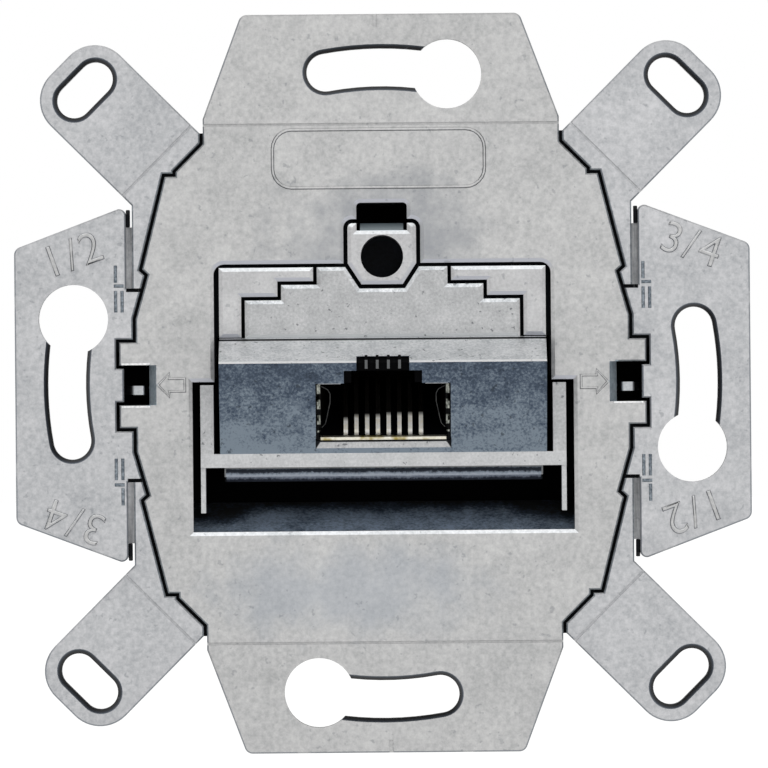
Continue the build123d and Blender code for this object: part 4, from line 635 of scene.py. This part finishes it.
# small wire signs sunk beside the wing keyholes: a socket of two slots with a wire that leads to one
wireSign = {"wireX": 24.75, "otherX": 25.37, "wireTop": 11.38, "wireFoot": 9.75, "crossbar": 9.43,
            "slotTop": 8.97, "slotFoot": 6.93, "line": 0.16, "flat": 0.3, "twinAt": -50.05}
wire = [(wireSign["wireX"], wireSign["wireTop"]), (wireSign["wireX"], wireSign["wireFoot"])]
crossbar = [(wireSign["wireX"] - wireSign["line"], wireSign["crossbar"]),
            (wireSign["otherX"] + wireSign["line"], wireSign["crossbar"])]
slots = [[(x, wireSign["slotTop"]), (x, wireSign["slotFoot"])]
         for x in (wireSign["wireX"], wireSign["otherX"])]
signLines = [wire, crossbar, *slots]
twinLines = [[(x + wireSign["twinAt"], z) for x, z in points] for points in signLines]
for name, lines, turn in (("wire_sign_right_top", signLines, 0), ("wire_sign_left_top", twinLines, 0),
                          ("wire_sign_left_bottom", signLines, 180),
                          ("wire_sign_right_bottom", twinLines, 180)):
    lineMark(name, lines, wireSign, onPlate(0, 0, turn), zincSignTone)
print("marks made")


# Small forms of the castings and the shield

def onFace(depthInMm):
    # the plane of the slanted face, or one that lies deeper behind it
    upward = Vector((0, -portInward.z, portInward.y))
    placing = Matrix((Vector((1, 0, 0)), upward, -portInward)).transposed().to_4x4()
    placing.translation = Vector((0, plateFront, port["foot"] * mm)) + portInward * depthInMm * mm
    return placing


# the shield's rim shows as a pale edge in the two upper corners of the opening
shieldRim = {"depth": 0.22, "line": 0.07, "flat": 1.0, "points": [(4.0, 7.5), (6.15, 7.5)]}
# and its side springs bow in from the walls of the port
sideSpring = {"depth": 0.75, "line": 0.05, "flat": 1.0,
              "points": [(5.84, 6.9), (5.25, 6.55), (5.02, 6.1), (5.02, 5.2), (5.2, 4.3), (5.36, 3.4),
                         (5.5, 2.8), (5.84, 2.4)]}
# the side springs' sheet is painted dark grey as the shade inside the port
springShadeTone = mottled("tarnishedSheet", [(0.35, "#17181A"), (0.65, "#4C4D4C")], 0.5, 0.3, (0.4, 0.5))
for side, mirrored in (("left", -1), ("right", 1)):
    for name, edge, material in (("shield_rim_top", shieldRim, springStrip),
                                 ("shield_spring_edge", sideSpring, springShadeTone)):
        lineMark(f"{name}_{side}", [[(mirrored * x, up) for x, up in edge["points"]]], edge,
                 onFace(edge["depth"]), material)


def barBetween(name, look, mirrored, rise, material):
    # a bar beside the plate's edge, mirrored and risen by 1 or -1, its edges rounded and its end sloped back
    ranges = (sorted(mirrored * x for x in look["across"]), [plateFront / mm + y for y in look["behind"]],
              sorted(rise * z for z in look["up"]))
    middle = [sum(ends) / 2 * mm for ends in ranges]
    slope = rise * look["slope"]
    form = bmesh.new()
    bmesh.ops.create_cube(form, size=1.0)
    bmesh.ops.scale(form, verts=form.verts, vec=[(ends[1] - ends[0]) * mm for ends in ranges])
    bmesh.ops.translate(form, verts=form.verts, vec=middle)
    outer = [v for v in form.verts if (v.co.z - middle[2]) * slope > 0 and v.co.y < middle[1]]
    bmesh.ops.translate(form, verts=outer, vec=(0, 0, -slope * mm))
    bmesh.ops.bevel(form, geom=form.edges[:], offset=look["bevel"] * mm, segments=2, profile=0.5,
                    affect="EDGES", material=-1)
    mesh = bpy.data.meshes.new(name)
    form.to_mesh(mesh)
    form.free()
    finishMark(showObject(name, mesh), material)


# fins at each wing where its web ends, in the gap beside the arm, painted near black as the gap's shade
wingGapShade = {"across": (23.9, 24.3), "behind": (0.55, 1.5), "up": (15.0, 16.7), "slope": 0.5, "bevel": 0.08}
gapShadeZinc = mottled("castingSkinInShade", [(0.34, "#050608"), (0.66, "#14171C")], 0.3, 0.85, (0.55, 0.7))
# beads on the catch boxes that fill the thin gap left beside the plate's prongs
boxBead = {"across": (24.7, 25.9), "behind": (1.7, 2.4), "up": (3.1, 3.2), "slope": 0.0, "bevel": 0.02}
for corner, mirrored, rise in (("left_top", -1, 1), ("right_top", 1, 1), ("left_bottom", -1, -1),
                               ("right_bottom", 1, -1)):
    barBetween(f"wing_fin_{corner}", wingGapShade, mirrored, rise, gapShadeZinc)
    barBetween(f"catch_box_bead_{corner}", boxBead, mirrored, rise, insulation)
print("small forms made")


# Stage, camera and lights

view = {"pixelsPerMm": 10.54, "frame": 768, "originPixel": (383.0, 383.2), "distance": 0.9, "roll": 0.5,
        "sensor": 36.0, "clip": (0.05, 20.0)}
cameraData = bpy.data.cameras.new("camera")
camera = showObject("camera", cameraData)
fieldWidth = view["frame"] / view["pixelsPerMm"] * mm
cameraData.sensor_width = view["sensor"]
cameraData.lens = view["sensor"] * view["distance"] / fieldWidth
cameraData.clip_start, cameraData.clip_end = view["clip"]
aimX = (view["frame"] / 2 - view["originPixel"][0]) / view["pixelsPerMm"] * mm
aimZ = (view["originPixel"][1] - view["frame"] / 2) / view["pixelsPerMm"] * mm
camera.matrix_world = (Matrix.Translation((aimX, plateFront - view["distance"], aimZ))
                       @ Matrix.Rotation(math.radians(90), 4, "X")
                       @ Matrix.Rotation(math.radians(-view["roll"]), 4, "Z"))
bpy.context.scene.camera = camera


def seenShare(tree):
    # 1 for what the camera sees, by itself or in metal and glass, and 0 for light on the object
    paths = addNode(tree, "LightPath").outputs
    mirrored = addNode(tree, "Math", [paths["Is Glossy Ray"], paths["Is Transmission Ray"]], operation="ADD",
                       use_clamp=True)
    return addNode(tree, "Math", [paths["Is Camera Ray"], mirrored], operation="ADD", use_clamp=True)


stageLook = {"floorHeight": -60.0, "floorRadius": 4.0, "floorColour": "#E8E8E6",
             "whiteShare": 0.75, "whiteStrength": 1.3, "worldStrength": (0.45, 1.0)}
floorMesh = bmesh.new()
bmesh.ops.create_circle(floorMesh, cap_ends=True, segments=64, radius=stageLook["floorRadius"])
bmesh.ops.translate(floorMesh, verts=floorMesh.verts, vec=(0, 0, stageLook["floorHeight"] * mm))
floorData = bpy.data.meshes.new("floor")
floorMesh.to_mesh(floorData)
floorMesh.free()
floor = showObject("floor", floorData)

floorMaterial = bpy.data.materials.new("paleFloor")
floorMaterial.use_nodes = True
tree = floorMaterial.node_tree
tree.nodes.clear()
share = addNode(tree, "Math", [seenShare(tree), stageLook["whiteShare"]], operation="MULTIPLY")
plain = addNode(tree, "BsdfDiffuse", {"Color": stageLook["floorColour"]})
white = addNode(tree, "Emission", {"Color": "#FFFFFF", "Strength": stageLook["whiteStrength"]})
addNode(tree, "OutputMaterial", [addNode(tree, "MixShader", [share, plain, white])])
floorData.materials.append(floorMaterial)

world = bpy.data.worlds.new("studio")
bpy.context.scene.world = world
world.use_nodes = True
tree = world.node_tree
tree.nodes.clear()
strength = addNode(tree, "MapRange", [seenShare(tree), 0.0, 1.0, *stageLook["worldStrength"]])
addNode(tree, "OutputWorld", [addNode(tree, "Background", {"Color": "#FFFFFF", "Strength": strength})])

lamps = [
    {"name": "keyLamp", "place": (-0.25, -0.75, 0.75), "size": 0.6, "power": 2.0},
    {"name": "fillLamp", "place": (0.35, -0.9, 0.2), "size": 0.7, "power": 1.2},
]
for lamp in lamps:
    lampData = bpy.data.lights.new(lamp["name"], "AREA")
    lampData.size = lamp["size"]
    lampData.energy = lamp["power"]
    lampObject = showObject(lamp["name"], lampData)
    lampObject.location = lamp["place"]
    lampObject.rotation_euler = Vector(lamp["place"]).to_track_quat("Z", "Y").to_euler()
    lampObject.visible_camera = False
print("stage, camera and lights set")

bpy.context.scene.view_settings.view_transform = "Standard"
